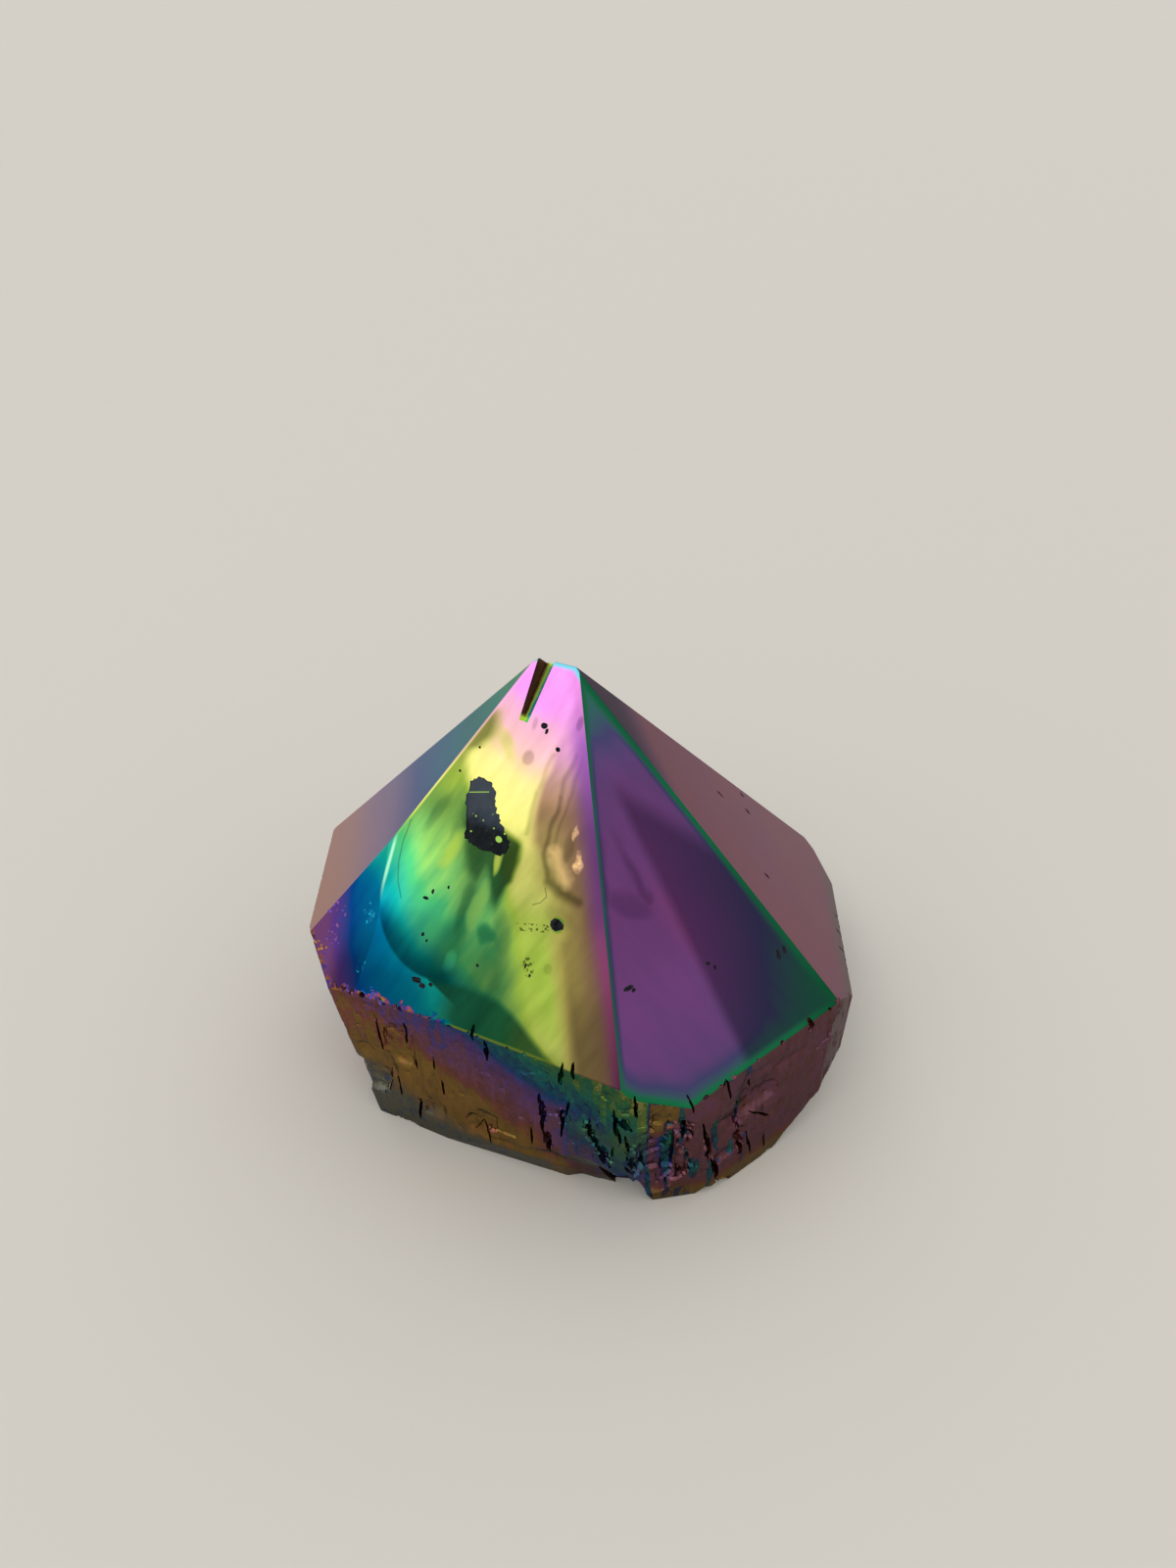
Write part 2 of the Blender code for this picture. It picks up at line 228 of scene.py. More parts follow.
# Pits in the polished faces: across, down, width, height
PITS = {
    "front_left": (
        (0.2, 5.4, 0.8, 0.55), (0.6, 5.9, 0.3, 0.6), (2.3, 7.4, 0.5, 0.5),
        (7.3, 24.4, 1.2, 1.1), (-7.6, 26, 0.65, 0.35), (-7, 25.1, 0.3, 0.55),
        (-5.4, 24.2, 0.25, 0.35), (-6.8, 29.7, 0.35, 0.4), (-6.2, 30.2, 0.25, 0.3),
        (-6.1, 34.4, 1.1, 0.6), (-5.3, 34.8, 0.7, 0.45), (-4.4, 34.4, 0.45, 0.35),
        (0.1, 30.9, 0.3, 0.3), (5.2, 29.3, 0.22, 0.6), (5.9, 30.1, 0.22, 0.4),
        (-6.2, 9.3, 0.25, 0.25), (-7.7, 12.2, 0.3, 0.25),
    ),
    "front_right": (
        (11.4, 38, 0.45, 1.1), (12.3, 37.8, 0.4, 0.8), (-6.5, 33.8, 1.1, 0.45),
        (-6, 34.2, 0.5, 0.4), (3, 35.3, 0.45, 0.35), (3.6, 36, 0.3, 0.5),
        (-8.9, 24.5, 0.3, 0.6),
    ),
    "right": (
        (4.7, 30, 0.45, 1), (11.1, 36.6, 0.5, 0.9), (7.9, 36.8, 0.6, 0.9),
        (-4.4, 36.5, 0.5, 0.9),
    ),
    "left": ((-8.4, 31, 0.3, 1.4), (-6, 21, 0.25, 0.5)),
}
PIT_SPREAD = 1.12
PIT_DEPTH = 1.5

# Outline of the flake lost from the front left face, and how ragged it is
FLAKE = (
    (-6.3, 13), (-5, 12.2), (-3.7, 12.5), (-3.1, 13.6), (-2.5, 15), (-1.6, 16.2),
    (-0.5, 17.3), (0.1, 18.4), (-0.5, 19.3), (-2, 19.5), (-3.7, 19.3), (-5, 18.9),
    (-5.5, 17.2), (-6.1, 15.4),
)
FLAKE_STEPS = 5
FLAKE_RAGGED = 0.17
FLAKE_DEPTH = 0.12

# Stage, in metres but for the camera: floor, light and camera
FLOOR_SIZE = 20
WORLD_COLOUR = (1, 0.985, 0.96, 1)
WINDOW_PLACE = Vector((-0.45, -0.45, 0.42))
WINDOW_TARGET = Vector((0, 0, 0.025))
WINDOW_SIZE = 0.7
CAMERA_PLACE = Vector((-0.898, -105.954, 111.28))
CAMERA_PITCH = 54


def linear(code):
    """Scene-linear colour of a display colour such as "8A6A2E"."""
    parts = [int(code[index:index + 2], 16) / 255 for index in (0, 2, 4)]
    return [part / 12.92 if part <= 0.04045 else ((part + 0.055) / 1.055) ** 2.4 for part in parts]


def rgba(code):
    return (*linear(code), 1)


def film_colour(name, code):
    """Property for one colour of the film sequence."""
    return FloatVectorProperty(
        name=name, description=f"Film colour: {name.lower()}", subtype="COLOR",
        size=3, min=0, max=1, default=linear(code),
    )


class FilmColours(bpy.types.PropertyGroup):
    """The film's colours in order of thickness."""

    gold: film_colour("Gold", "94722C")
    rust: film_colour("Rust", "8C4C3E")
    burgundy: film_colour("Burgundy", "7E4A62")
    violet: film_colour("Violet", "5A3A86")
    blue: film_colour("Deep blue", "06448C")
    sea_blue: film_colour("Sea blue", "006C90")
    teal: film_colour("Teal", "10A096")
    green: film_colour("Green", "48B46E")
    lime: film_colour("Lime", "B4D550")
    lemon: film_colour("Lemon", "F8F486")
    peach: film_colour("Peach", "F4CCA6")
    pink: film_colour("Pink", "F79CF4")
    rose: film_colour("Rose", "BC5890")
    purple: film_colour("Purple", "7A4C96")
    slate: film_colour("Slate blue", "484A80")
    second_green: film_colour("Second green", "1C8058")


def fine_size(name, description, default, low, high):
    """Property for one fine size in millimetres."""
    description += " in millimetres"
    return FloatProperty(name=name, description=description, default=default, min=low, max=high)


class StoneSizes(bpy.types.PropertyGroup):
    """Fine sizes of the stone's surface, in millimetres."""

    skin_step: fine_size("Skin step", "Mesh step of the raw skin", 0.28, 0.2, 1.5)
    edge_softness: fine_size("Edge softness", "Width of the polished edges' rounding", 0.14, 0.02, 0.5)
    grain_height: fine_size("Grain height", "Relief of the raw skin", 0.13, 0, 0.5)
    slit_depth: fine_size("Slit depth", "Depth of the slits", 1.3, 0.2, 3)
    seed: IntProperty(
        name="Seed", description="Seed of the small slits and pits that have no set place",
        default=11, min=0,
    )


class StudioSettings(bpy.types.PropertyGroup):
    """Floor, light and camera."""

    floor_colour: FloatVectorProperty(
        name="Floor colour", description="Colour of the floor", subtype="COLOR",
        size=3, min=0, max=1, default=linear("CFCBC4"),
    )
    world_strength: FloatProperty(
        name="World strength", description="Brightness of the soft surroundings", default=1, min=0,
    )
    window_power: FloatProperty(
        name="Window power", description="Power of the large soft light at front left",
        default=0.6, min=0, subtype="POWER", unit="POWER",
    )
    lens: FloatProperty(
        name="Lens", description="Focal length of the camera in millimetres",
        default=27, min=10, subtype="DISTANCE_CAMERA",
    )


# --- Planes of the stone ---


def heading(azimuth):
    """Unit vector along the ground for an azimuth in degrees."""
    angle = math.radians(azimuth)
    return Vector((math.sin(angle), -math.cos(angle), 0))


def leaning_normal(azimuth, lean):
    """Unit normal that leans away from +Z by an angle in degrees."""
    angle = math.radians(lean)
    return heading(azimuth) * math.sin(angle) + UP * math.cos(angle)


class Plane:
    """One plane of the stone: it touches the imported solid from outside. All in millimetres."""

    def __init__(self, azimuth, lean, places):
        self.normal = leaning_normal(azimuth, lean)
        self.reach = max(place.dot(self.normal) for place in places)
        self.across = UP.cross(heading(azimuth))
        self.down = self.across.cross(self.normal)
        if lean < STEEPEST_POLISHED:
            peak = (self.reach - AXIS.dot(self.normal)) / self.normal.z
            self.origin = AXIS + UP * peak
        else:
            base = AXIS + UP * GIRDLE_HEIGHT
            out = (self.reach - base.dot(self.normal)) / heading(azimuth).dot(self.normal)
            self.origin = base + heading(azimuth) * out

    def place(self, across, down):
        """Point on the plane in the frame, from its own two coordinates."""
        return self.origin + self.across * across + self.down * down


def measure_planes():
    """The stone's planes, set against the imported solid."""
    places = [vertex.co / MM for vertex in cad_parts[NODE].data.vertices]
    polished = {name: Plane(*angles, places) for name, angles in POLISHED_FACES.items()}
    sides = {name: Plane(*angles, places) for name, angles in RAW_SIDES.items()}
    return polished, sides


POLISHED, SIDES = measure_planes()

# --- Shader expressions ---


def math_node(operation, reflected=False):
    """Method that joins a value and others in one Math node."""
    def method(self, *others):
        values = (*others, self) if reflected else (self, *others)
        return self.shader.add("Math", {"operation": operation}, dict(enumerate(values)))
    return method


class Field:
    """A value that varies over the surface. Arithmetic on it adds Math nodes."""

    def __init__(self, shader, socket):
        self.shader, self.socket = shader, socket

    __add__ = __radd__ = math_node("ADD")
    __mul__ = __rmul__ = math_node("MULTIPLY")
    __sub__ = math_node("SUBTRACT")
    __rsub__ = math_node("SUBTRACT", reflected=True)
    __truediv__ = math_node("DIVIDE")
    __pow__ = math_node("POWER")
    __abs__ = math_node("ABSOLUTE")
    at_least = math_node("MAXIMUM")
    at_most = math_node("MINIMUM")

    def rise(self, low, high):
        """0 below low, 1 above high, smooth between."""
        sockets = {"Value": self, "From Min": low, "From Max": high}
        return self.shader.add("MapRange", {"interpolation_type": "SMOOTHSTEP"}, sockets)

    def fall(self, low, high):
        """1 below low, 0 above high, smooth between."""
        return 1 - self.rise(low, high)

    def towards(self, other, share):
        """Blend of this value with another."""
        return self + (other - self) * share

    def profile(self, *points):
        """Value of a smooth curve through points of (input, output)."""
        inputs, outputs = zip(*points)
        start, span = inputs[0], inputs[-1] - inputs[0]
        low, height = min(outputs), max(outputs) - min(outputs)
        scaled = [((x - start) / span, (y - low) / height) for x, y in points]
        curve = self.shader.add("FloatCurve", {"points": scaled}, {"Value": (self - start) / span})
        return curve * height + low


def greatest(*marks):
    """The greatest of several values."""
    return reduce(Field.at_least, marks)


def rotated(u, v, turn):
    """Two coordinates turned by some degrees."""
    cosine, sine = math.cos(math.radians(turn)), math.sin(math.radians(turn))
    return u * cosine + v * sine, v * cosine - u * sine


class Chart:
    """Coordinates on a plane of the stone, in millimetres: u runs across it and v down it."""

    def __init__(self, shader, u, v):
        self.shader, self.u, self.v = shader, u, v

    def stirred(self, grain, reach):
        """Pushed about softly, so that marks drawn with it lose their straight sides."""
        noise_at = self.shader.noise
        push_u = (noise_at(grain, 1, (1.1, 0.9, 1)) - 0.5) * reach
        push_v = (noise_at(grain, 1, (0.8, 1.2, 1.1)) - 0.5) * reach
        return Chart(self.shader, self.u + push_u, self.v + push_v)

    def streaks(self, turn, width, length):
        """Soft noise around 0.5, drawn out along a line."""
        along, beside = rotated(self.u, self.v, turn)
        place = self.shader.add("CombineXYZ", {}, {"X": along / length, "Y": beside / width})
        return self.shader.add("TexNoise", {}, {"Vector": place, "Scale": 1})

    def spot(self, middle, size, turn=0, soft=1):
        """1 inside an ellipse, fading to 0 at its rim."""
        along, beside = rotated(self.u - middle[0], self.v - middle[1], turn)
        along, beside = along / size[0], beside / size[1]
        return (along * along + beside * beside).fall(1 - soft, 1)

    def stroke(self, start, end, width, soft=1):
        """1 along a straight line, fading to 0 at its sides."""
        run = Vector(end) - Vector(start)
        length = run.length
        run = run / length
        du, dv = self.u - start[0], self.v - start[1]
        along = (du * run[0] + dv * run[1]).at_least(0).at_most(length)
        gap_u, gap_v = du - along * run[0], dv - along * run[1]
        return ((gap_u * gap_u + gap_v * gap_v) ** 0.5).fall(width * (1 - soft) / 2, width / 2)


class Look:
    """How the film looks over a face: its place in the colour sequence, and how light it is, which is painted
    reflection brightness.
    """

    def __init__(self, order, light):
        self.order, self.light = order, light

    def lay(self, share, order, light, strength=1):
        """Lay another order, and some strength of another light, over a share of the face."""
        self.order = self.order.towards(order, share)
        self.light = self.light.towards(light, share * strength)

    def darken(self, share, depth):
        """Take some depth of the light away over a share of the face."""
        self.light = self.light * (1 - share * depth)


class Shader:
    """One material and its node tree. All lengths are in millimetres."""

    def __init__(self, name):
        self.material = bpy.data.materials.new(name)
        self.material.use_nodes = True
        self.tree = self.material.node_tree
        self.surface = self.tree.nodes["Principled BSDF"]
        self.point = self.add("TexCoord", output="Object")
        self.normal = self.add("NewGeometry", output="Normal")

    def add(self, kind, settings=None, sockets=None, output=0):
        """Add a node: its settings first, then the values or links of its sockets."""
        node = self.tree.nodes.new("ShaderNode" + kind)
        for name, value in (settings or {}).items():
            if name == "stops":
                self.fill_ramp(node.color_ramp, value)
            elif name == "points":
                self.fill_curve(node.mapping, value)
            else:
                setattr(node, name, value)
        for name, value in (sockets or {}).items():
            self.feed(node.inputs[name], value)
        return Field(self, node.outputs[output])

    def feed(self, socket, value):
        """Link a field to a socket, or set the socket's own value."""
        if isinstance(value, Field):
            self.tree.links.new(value.socket, socket)
        else:
            socket.default_value = value

    @staticmethod
    def fill_ramp(ramp, stops):
        while len(ramp.elements) < len(stops):
            ramp.elements.new(1)
        for element, (position, colour) in zip(ramp.elements, stops):
            element.position = position
            element.color = (*colour, 1)

    @staticmethod
    def fill_curve(mapping, points):
        curve = mapping.curves[0]
        while len(curve.points) < len(points):
            curve.points.new(1, 1)
        for point, place in zip(curve.points, points):
            point.location = place
        mapping.extend = "HORIZONTAL"
        mapping.update()

    def dot(self, source, way):
        settings, sockets = {"operation": "DOT_PRODUCT"}, {0: source, 1: way}
        return self.add("VectorMath", settings, sockets, "Value")

    def along(self, way, start=0):
        """Distance along a way in the frame, from its start."""
        return self.dot(self.point, way * (1 / MM)) - start

    def facing(self, way):
        """How far the surface faces a way: 1 straight, 0 square to it."""
        return self.dot(self.normal, way)

    def across(self, plane):
        return self.along(plane.across, plane.origin.dot(plane.across))

    def chart(self, plane):
        return Chart(self, self.across(plane), self.along(plane.down, plane.origin.dot(plane.down)))

    def inset(self, plane, neighbour):
        """Distance on a face from its edge with a neighbouring face."""
        sine = plane.normal.cross(neighbour.normal).length
        return self.along(neighbour.normal, neighbour.reach) * -1 / sine

    def texture(self, kind, size, stretch, sockets=None, output=0):
        """Texture over the frame, with a grain of some size."""
        scale = Vector(stretch) / (size * MM)
        place = self.add("VectorMath", {"operation": "MULTIPLY"}, {0: self.point, 1: scale})
        return self.add(kind, {}, {"Vector": place, "Scale": 1, **(sockets or {})}, output)

    def noise(self, size, detail=2, stretch=EVEN):
        """Soft noise around 0.5."""
        return self.texture("TexNoise", size, stretch, {"Detail": detail})

    def cells(self, size, stretch=EVEN):
        """A level around 0.5 that jumps from cell to cell."""
        return self.texture("TexVoronoi", size, stretch, output="Color")

    def specks(self, size, reach):
        """1 at scattered points, 0 past their reach, one in each cell of some size."""
        return self.texture("TexVoronoi", size, EVEN, output="Distance").fall(reach * 0.6, reach)

    def mix(self, share, first, second, blend="MIX"):
        settings = {"data_type": "RGBA", "blend_type": blend}
        return self.add("Mix", settings, {0: share, 6: first, 7: second}, 2)

    def film(self, order, light, warmth=ROOM_WARMTH):
        """Colour of the film: its place in the colour sequence, how light it looks, which is painted
        reflection brightness, and how warm, which is a painted reflection of a warm room.
        """
        names = list(FilmColours.__annotations__)
        colours = bpy.context.scene.quartz_film
        last = len(names) - 1
        stops = [(place / last, getattr(colours, name)) for place, name in enumerate(names)]
        ramp = self.add("ValToRGB", {"stops": stops}, {"Fac": order / last})
        green = light * (1 - warmth * WARM_GREEN)
        blue = light * (1 - warmth * WARM_BLUE)
        tone = self.add("CombineColor", {}, {"Red": light, "Green": green, "Blue": blue})
        return self.mix(1, ramp, tone, "MULTIPLY")

    def finish(self, colour, roughness, metallic=1, bump=None, bump_depth=0, edge_tint=EDGE_TINT):
        """Join the looks to the surface."""
        inputs = self.surface.inputs
        inputs["Specular Tint"].default_value = (edge_tint, edge_tint, edge_tint, 1)
        self.feed(inputs["Base Color"], colour)
        self.feed(inputs["Roughness"], roughness)
        self.feed(inputs["Metallic"], metallic)
        if bump:
            bumped = self.add("Bump", {}, {"Height": bump, "Distance": bump_depth * MM})
            self.feed(inputs["Normal"], bumped)
        return self.material


def handling(shader):
    """Faint cloudiness of a polished, handled surface, around 1."""
    return (shader.noise(9, 3) - 0.5) * 0.10 + (shader.noise(0.7) - 0.5) * 0.05 + 1

# --- Coats of the polished faces ---


def front_left_shares(v, w):
    """Shares of the left zone, the tan zone and the front zone; w is the distance from the front edge."""
    tan_border = v.profile(
        (0, 2), (8, 3.5), (12, 5.6), (16, 6.9), (18, 7.3), (20, 7), (23, 5.6), (28, 5.8), (32, 5.6), (38, 5.4)
    )
    left_border = v.profile(
        (0, 8.6), (6, 9.2), (9, 11.2), (12, 13.2), (16, 11.5), (20, 10.2), (24, 9.9), (30, 10.2), (38, 9)
    )
    border_width = v.profile((20, 1), (26, 2.2))
    tan_start = v.profile((6, 0.5), (9, 0.85), (16, 0.85), (20, 0.5), (26, 0.7))
    tan_end = v.profile((6, 1.3), (9, 1.08), (16, 1.08), (20, 1.2))
    across = w / tan_border
    left_share = ((w - left_border) / border_width).rise(-0.7, 1)
    return left_share, across.fall(tan_start, tan_end), across.fall(0.1, 0.7)


def front_left_order(u, v, w, wave, shares):
    """Film order of the front left face: green left zone, lemon and lime middle, brown front zone."""
    left = v.profile(
        (0, 11.2), (4, 10.5), (6, 9.4), (8, 8.9), (10, 8.5), (12.8, 7.95), (15.5, 7.65), (20, 7.45),
        (24, 7.25), (28, 6.85), (32, 6.95), (38, 7)
    )
    left = left + w.fall(14, 18) * v.rise(23, 28) * 0.28
    left = left + wave * 0.7 - (w - 19).at_least(0) * v.rise(17, 24) * 0.12
    middle = (v - u.at_most(0) * 0.45).profile(
        (0, 11.1), (3.5, 11), (5.5, 10.6), (9, 10.2), (10.5, 9.85), (12, 9.35), (15, 9.1), (18, 8.9),
        (22, 8.75), (25.2, 8.2), (30, 8.05), (34, 8.15), (37, 8.5), (40, 8.6)
    )
    tan = v.profile(
        (0, 11.1), (5, 10.8), (8, 10.6), (10, 10.3), (14, 9.9), (16, 9.6), (20, 9.4), (24, 9.3),
        (28, 9.25), (33, 9.5), (38, 9.6)
    )
    front = v.profile(
        (0, 11.1), (8, 10.95), (10, 10.7), (14, 10.3), (23, 10.35), (27, 10.4), (33, 10.1), (38, 10.1)
    )
    return blend_zones(middle + wave * 0.3, (left, tan, front), shares)


def front_left_light(v, w, wave, shares):
    """How light the front left face looks, zone by zone, as painted reflection brightness; its left zone has
    soft lobes.
    """
    upper = v.profile(
        (0, 0.86), (4, 0.8), (5.8, 0.24), (8, 0.22), (10.5, 0.38), (13, 0.5), (16, 0.46), (20, 0.56)
    )
    fold = w - v.profile((17, 12.6), (20, 13), (23.3, 13.7), (27.2, 15.2), (30.4, 16.9), (34, 18.6))
    lobes = fold.profile(
        (-6, 0.5), (-3.4, 0.48), (-2, 0.6), (-1.1, 0.56), (-0.5, 0.44), (0, 0.4), (0.9, 0.46),
        (2.4, 0.74), (4.5, 0.95), (9, 1.3)
    )
    lobes = lobes * v.profile((16, 0.65), (20, 0.85), (23, 1), (26, 0.95), (28.5, 0.7), (31, 0.6), (38, 0.5))
    left = upper.towards(lobes, v.rise(15.5, 19.5))
    middle = v.profile(
        (0, 0.92), (5, 0.8), (8, 0.82), (11, 0.86), (15, 0.8), (17.5, 0.62), (20, 0.46), (25, 0.48),
        (28, 0.56), (34, 0.5), (38, 0.34)
    )
    tan = v.profile(
        (0, 0.85), (5, 0.74), (8, 0.62), (10, 0.5), (12.5, 0.38), (14.3, 0.28), (16, 0.32), (20, 0.24),
        (24, 0.24), (28, 0.25), (33, 0.15), (38, 0.12)
    )
    front = v.profile(
        (0, 0.8), (5, 0.5), (8, 0.4), (10, 0.3), (14, 0.17), (18, 0.2), (23, 0.15), (27, 0.17),
        (33, 0.13), (38, 0.12)
    )
    light = blend_zones(middle, (left, tan, front), shares) * (wave * 0.55 + 1)
    return light * (1 - shares[1] * v.rise(13, 17) * 0.16)


def blend_zones(middle, zones, shares):
    """The middle zone's value with the other zones blended over it."""
    for zone, share in zip(zones, shares):
        middle = middle.towards(zone, share)
    return middle


def dark_reflections(chart):
    """Painted dark reflections: a dark green zone below the flake, with two legs, and soft dark patches round
    it: 1 where darkest.
    """
    chart = chart.stirred(3.2, 1.2)
    u, v = chart.u, chart.v
    right_side = v.profile((16, 1.2), (19.4, 1.9), (21.5, 1.7), (23.7, 0.9), (26, 1.1))
    left_side = v.profile((17, -6), (19, -5), (20.7, -4.4), (22.8, -3.2))
    hem = u.profile(
        (-5, 20), (-3.6, 22.6), (-2.8, 22.8), (-1.9, 21.6), (-1.1, 22.8), (-0.4, 24.2), (1.4, 25.2)
    )
    zone = (right_side - u).rise(-0.1, 0.8) * (u - left_side).rise(-1, 0.9) * (hem - v).rise(-1.4, 1.2)
    zone = zone * (v - u * 0.3).rise(16.6, 17.5) * (u.rise(-3, 0) * 0.25 + 0.75)
    spots = (
        ((-5.6, 18.6), (3.2, 1.5), 96, 0.45), ((-3, 25.2), (4.2, 0.9), 93, 0.45),
        ((1.9, 27.4), (3.8, 1.2), 72, 0.3), ((2.4, 31), (3.6, 1.2), 95, 0.2),
        ((-9, 17), (3.2, 0.8), 115, 0.35), ((-3.2, 8.2), (2.6, 0.9), 55, 0.3),
    )
    return greatest(zone, *(chart.spot(*spot) * depth for *spot, depth in spots))


def front_lines(chart):
    """Fine shaded lines of the front zone that end in a hook: 1 where darkest."""
    chart = chart.stirred(4, 1.2)
    spots = (((6.2, 16.4), (2.2, 0.7), 84, 0.4), ((7.4, 23.6), (2.4, 1.3), 20, 0.3))
    strokes = (
        ((2.1, 8.1), (1.5, 12.2), 1, 0.3), ((1.5, 12.2), (1.6, 16.6), 1, 0.4),
        ((4.4, 7.5), (3.9, 12), 0.9, 0.45), ((5.1, 7.5), (4.8, 13.2), 0.7, 0.35),
        ((4.8, 13.2), (4.8, 17.2), 0.6, 0.35), ((3.9, 12), (3.9, 18), 1, 0.6),
        ((3.9, 18), (5.2, 20.7), 1.2, 0.65), ((5.2, 20.7), (8.8, 21.6), 1.8, 0.7),
    )
    marks = [chart.spot(*spot) * depth for *spot, depth in spots]
    return greatest(*marks, *(chart.stroke(*stroke) * depth for *stroke, depth in strokes))


def small_marks(chart):
    """Hairline crack, scratches and stains of the front left face: 1 where darkest."""
    dots = chart.shader.specks(0.42, 0.5)
    marks = [chart.stroke((3.2, 25.8), (6.2, 25.1), 0.9, 0.2) * dots]
    marks.append(chart.spot((5.5, 29.2), (1.3, 0.7), 70, 0.5) * dots)
    crack = ((-11.7, 18.6), (-11.95, 21.1), (-11.8, 23.3), (-11.3, 25.2), (-10.4, 26.8))
    hook = ((5, 21.2), (5.4, 22), (4.9, 22.8), (4.2, 23.2))
    for line in (crack, hook):
        marks += [chart.stroke(start, end, 0.22, 0.6) * 0.6 for start, end in zip(line, line[1:])]
    for middle, size, depth in (
        ((-0.6, 9), (0.85, 1), 0.5), ((-0.9, 5.4), (0.35, 0.9), 0.35),
        ((3.9, 4.3), (0.45, 1), 0.6), ((7.6, 28.9), (0.6, 0.7), 0.3),
    ):
        marks.append(chart.spot(middle, size, 0, 0.8) * depth)
    return greatest(*marks)


def lay_painted_glints(look, chart):
    """Painted warm glints beside the front edge, and the pale foot of the long line."""
    noise = chart.shader.noise
    chart = chart.stirred(1.5, 1.4)
    upper = chart.spot((6.6, 14.9), (1.1, 0.35), 84) * 0.6
    glint = greatest(upper, chart.spot((7.7, 17.8), (1.2, 0.6), 84))
    glint = glint * (noise(0.3, 1) * 1.6).at_most(1)
    glint = greatest(glint, chart.stroke((4.9, 17.6), (6.8, 19.8), 2.6) * 0.45)
    look.lay(glint, 9.8, 0.95, 0.9)


def lay_spots(look, chart):
    """Bright tips of the lobes of painted reflection light, a grey-blue stain and the teal rim of the round
    pit.
    """
    chart = chart.stirred(2.6, 1.6)
    for middle, size, turn, order, light in (
        ((-0.8, 20), (1.7, 0.55), 88, 8.5, 0.6), ((-1.5, 24.8), (3.4, 1.1), 97, 7.5, 0.55),
        ((-6.3, 20.4), (2.8, 1.1), 100, 8, 0.75), ((-3.1, 31.4), (1.5, 0.7), 98, 6.9, 0.5),
        ((0, 27.4), (1.3, 1.1), 60, 6.9, 0.22), ((7.4, 24.4), (1.1, 1), 0, 6.4, 0.4),
    ):
        look.lay(chart.spot(middle, size, turn) * 0.8, order, light)


def crease_distance(u, v):
    """Distance past the crease between the front left face and its blue corner."""
    bend_u = (u - CREASE_BEND[0]).at_most(0)
    bend_v = (v - CREASE_BEND[1]).at_least(0)
    past = (bend_u * bend_u + bend_v * bend_v) ** 0.5 - CREASE_RADIUS
    return past - (u - CREASE_BEND[0]).at_least(0) * CREASE_STRAIGHTENING


def lay_crease(look, v, past):
    """The coat turns bluer, and lighter, then dark, just before the crease: painted light and painted shade
    where the faces turn.
    """
    near = past.rise(-4.5, 0)
    look.light = look.light * (1 - past.rise(-2.8, -0.4) * v.fall(25, 28) * 0.38)
    bluer = v.profile((14, 0.1), (21, 0.35), (25, 0.6), (28, 0.9), (31, 1.2), (38, 0.6))
    look.order = look.order - near * bluer
    look.light = look.light * (1 + near * v.fall(27, 30) * 0.25 - near * v.rise(27.5, 31) * 0.62)


def lay_painted_girdle_reflection(look, chart, wave):
    """Dark green band above the girdle, a painted dark reflection, and the thin olive line at its foot, a
    painted bevel highlight.
    """
    shader, u, v = chart.shader, chart.u, chart.v
    top = u.profile((-4, 33.6), (2.8, 33.4), (4.7, 34), (8, 35.9), (10.5, 37.4), (14, 39.5))
    # Painted dark reflection: the dark green band
    band = (v - top).rise(-0.3, 0.8) * u.rise(-6.5, -2.5)
    look.lay(band, u.profile((-3, 6.55), (2, 6.75), (7, 7.35)), 0.115 + wave * 0.1)
    # Painted bevel highlight: the olive line at the girdle
    foot = shader.inset(POLISHED["front_left"], SIDES["front_left"]).fall(0.12, 0.4)
    look.lay(foot * u.rise(-6.5, -3) * u.fall(9, 12), 8.1, 0.2)


def corner_film(u, v, wave):
    """Order and light past the crease: violet far left, deep blue, teal by the crease and the girdle."""
    order = (u - v * 0.3 - (v - 33).at_least(0) * 0.3).profile(
        (-28.6, 2.5), (-27.5, 3), (-26.2, 3.5), (-25, 4), (-23.5, 4.5), (-22, 4.75), (-20, 5),
        (-18.5, 5.15), (-17, 5.4), (-15.5, 6)
    )
    order = order + v.fall(22, 27.5) * 1.3 + wave * 0.5
    light = v.profile(
        (20, 0.75), (25, 1.05), (29, 1), (32, 0.75), (34, 0.55), (36, 0.42), (39, 0.42), (43, 0.7)
    )
    return order, light.towards(0.95, (u + v * 0.1).fall(-14.4, -11.5)) * (wave * 0.3 + 1)


def lay_ragged_edge(look, shader, corner):
    """Rough strip of mixed colours where the blue corner meets the raw stone."""
    gap = shader.inset(POLISHED["left_corner_upper"], SIDES["left_front_corner"])
    gap = gap.at_most(shader.inset(POLISHED["left_corner_lower"], SIDES["front_left"]) * 1.3)
    ragged = (gap + (shader.noise(1.1) - 0.5) * 4).fall(0.3, 0.8) * corner
    look.lay(ragged, shader.noise(0.7, 1).profile((0.4, 0.2), (0.5, 1.6), (0.6, 3.2)), 0.85)


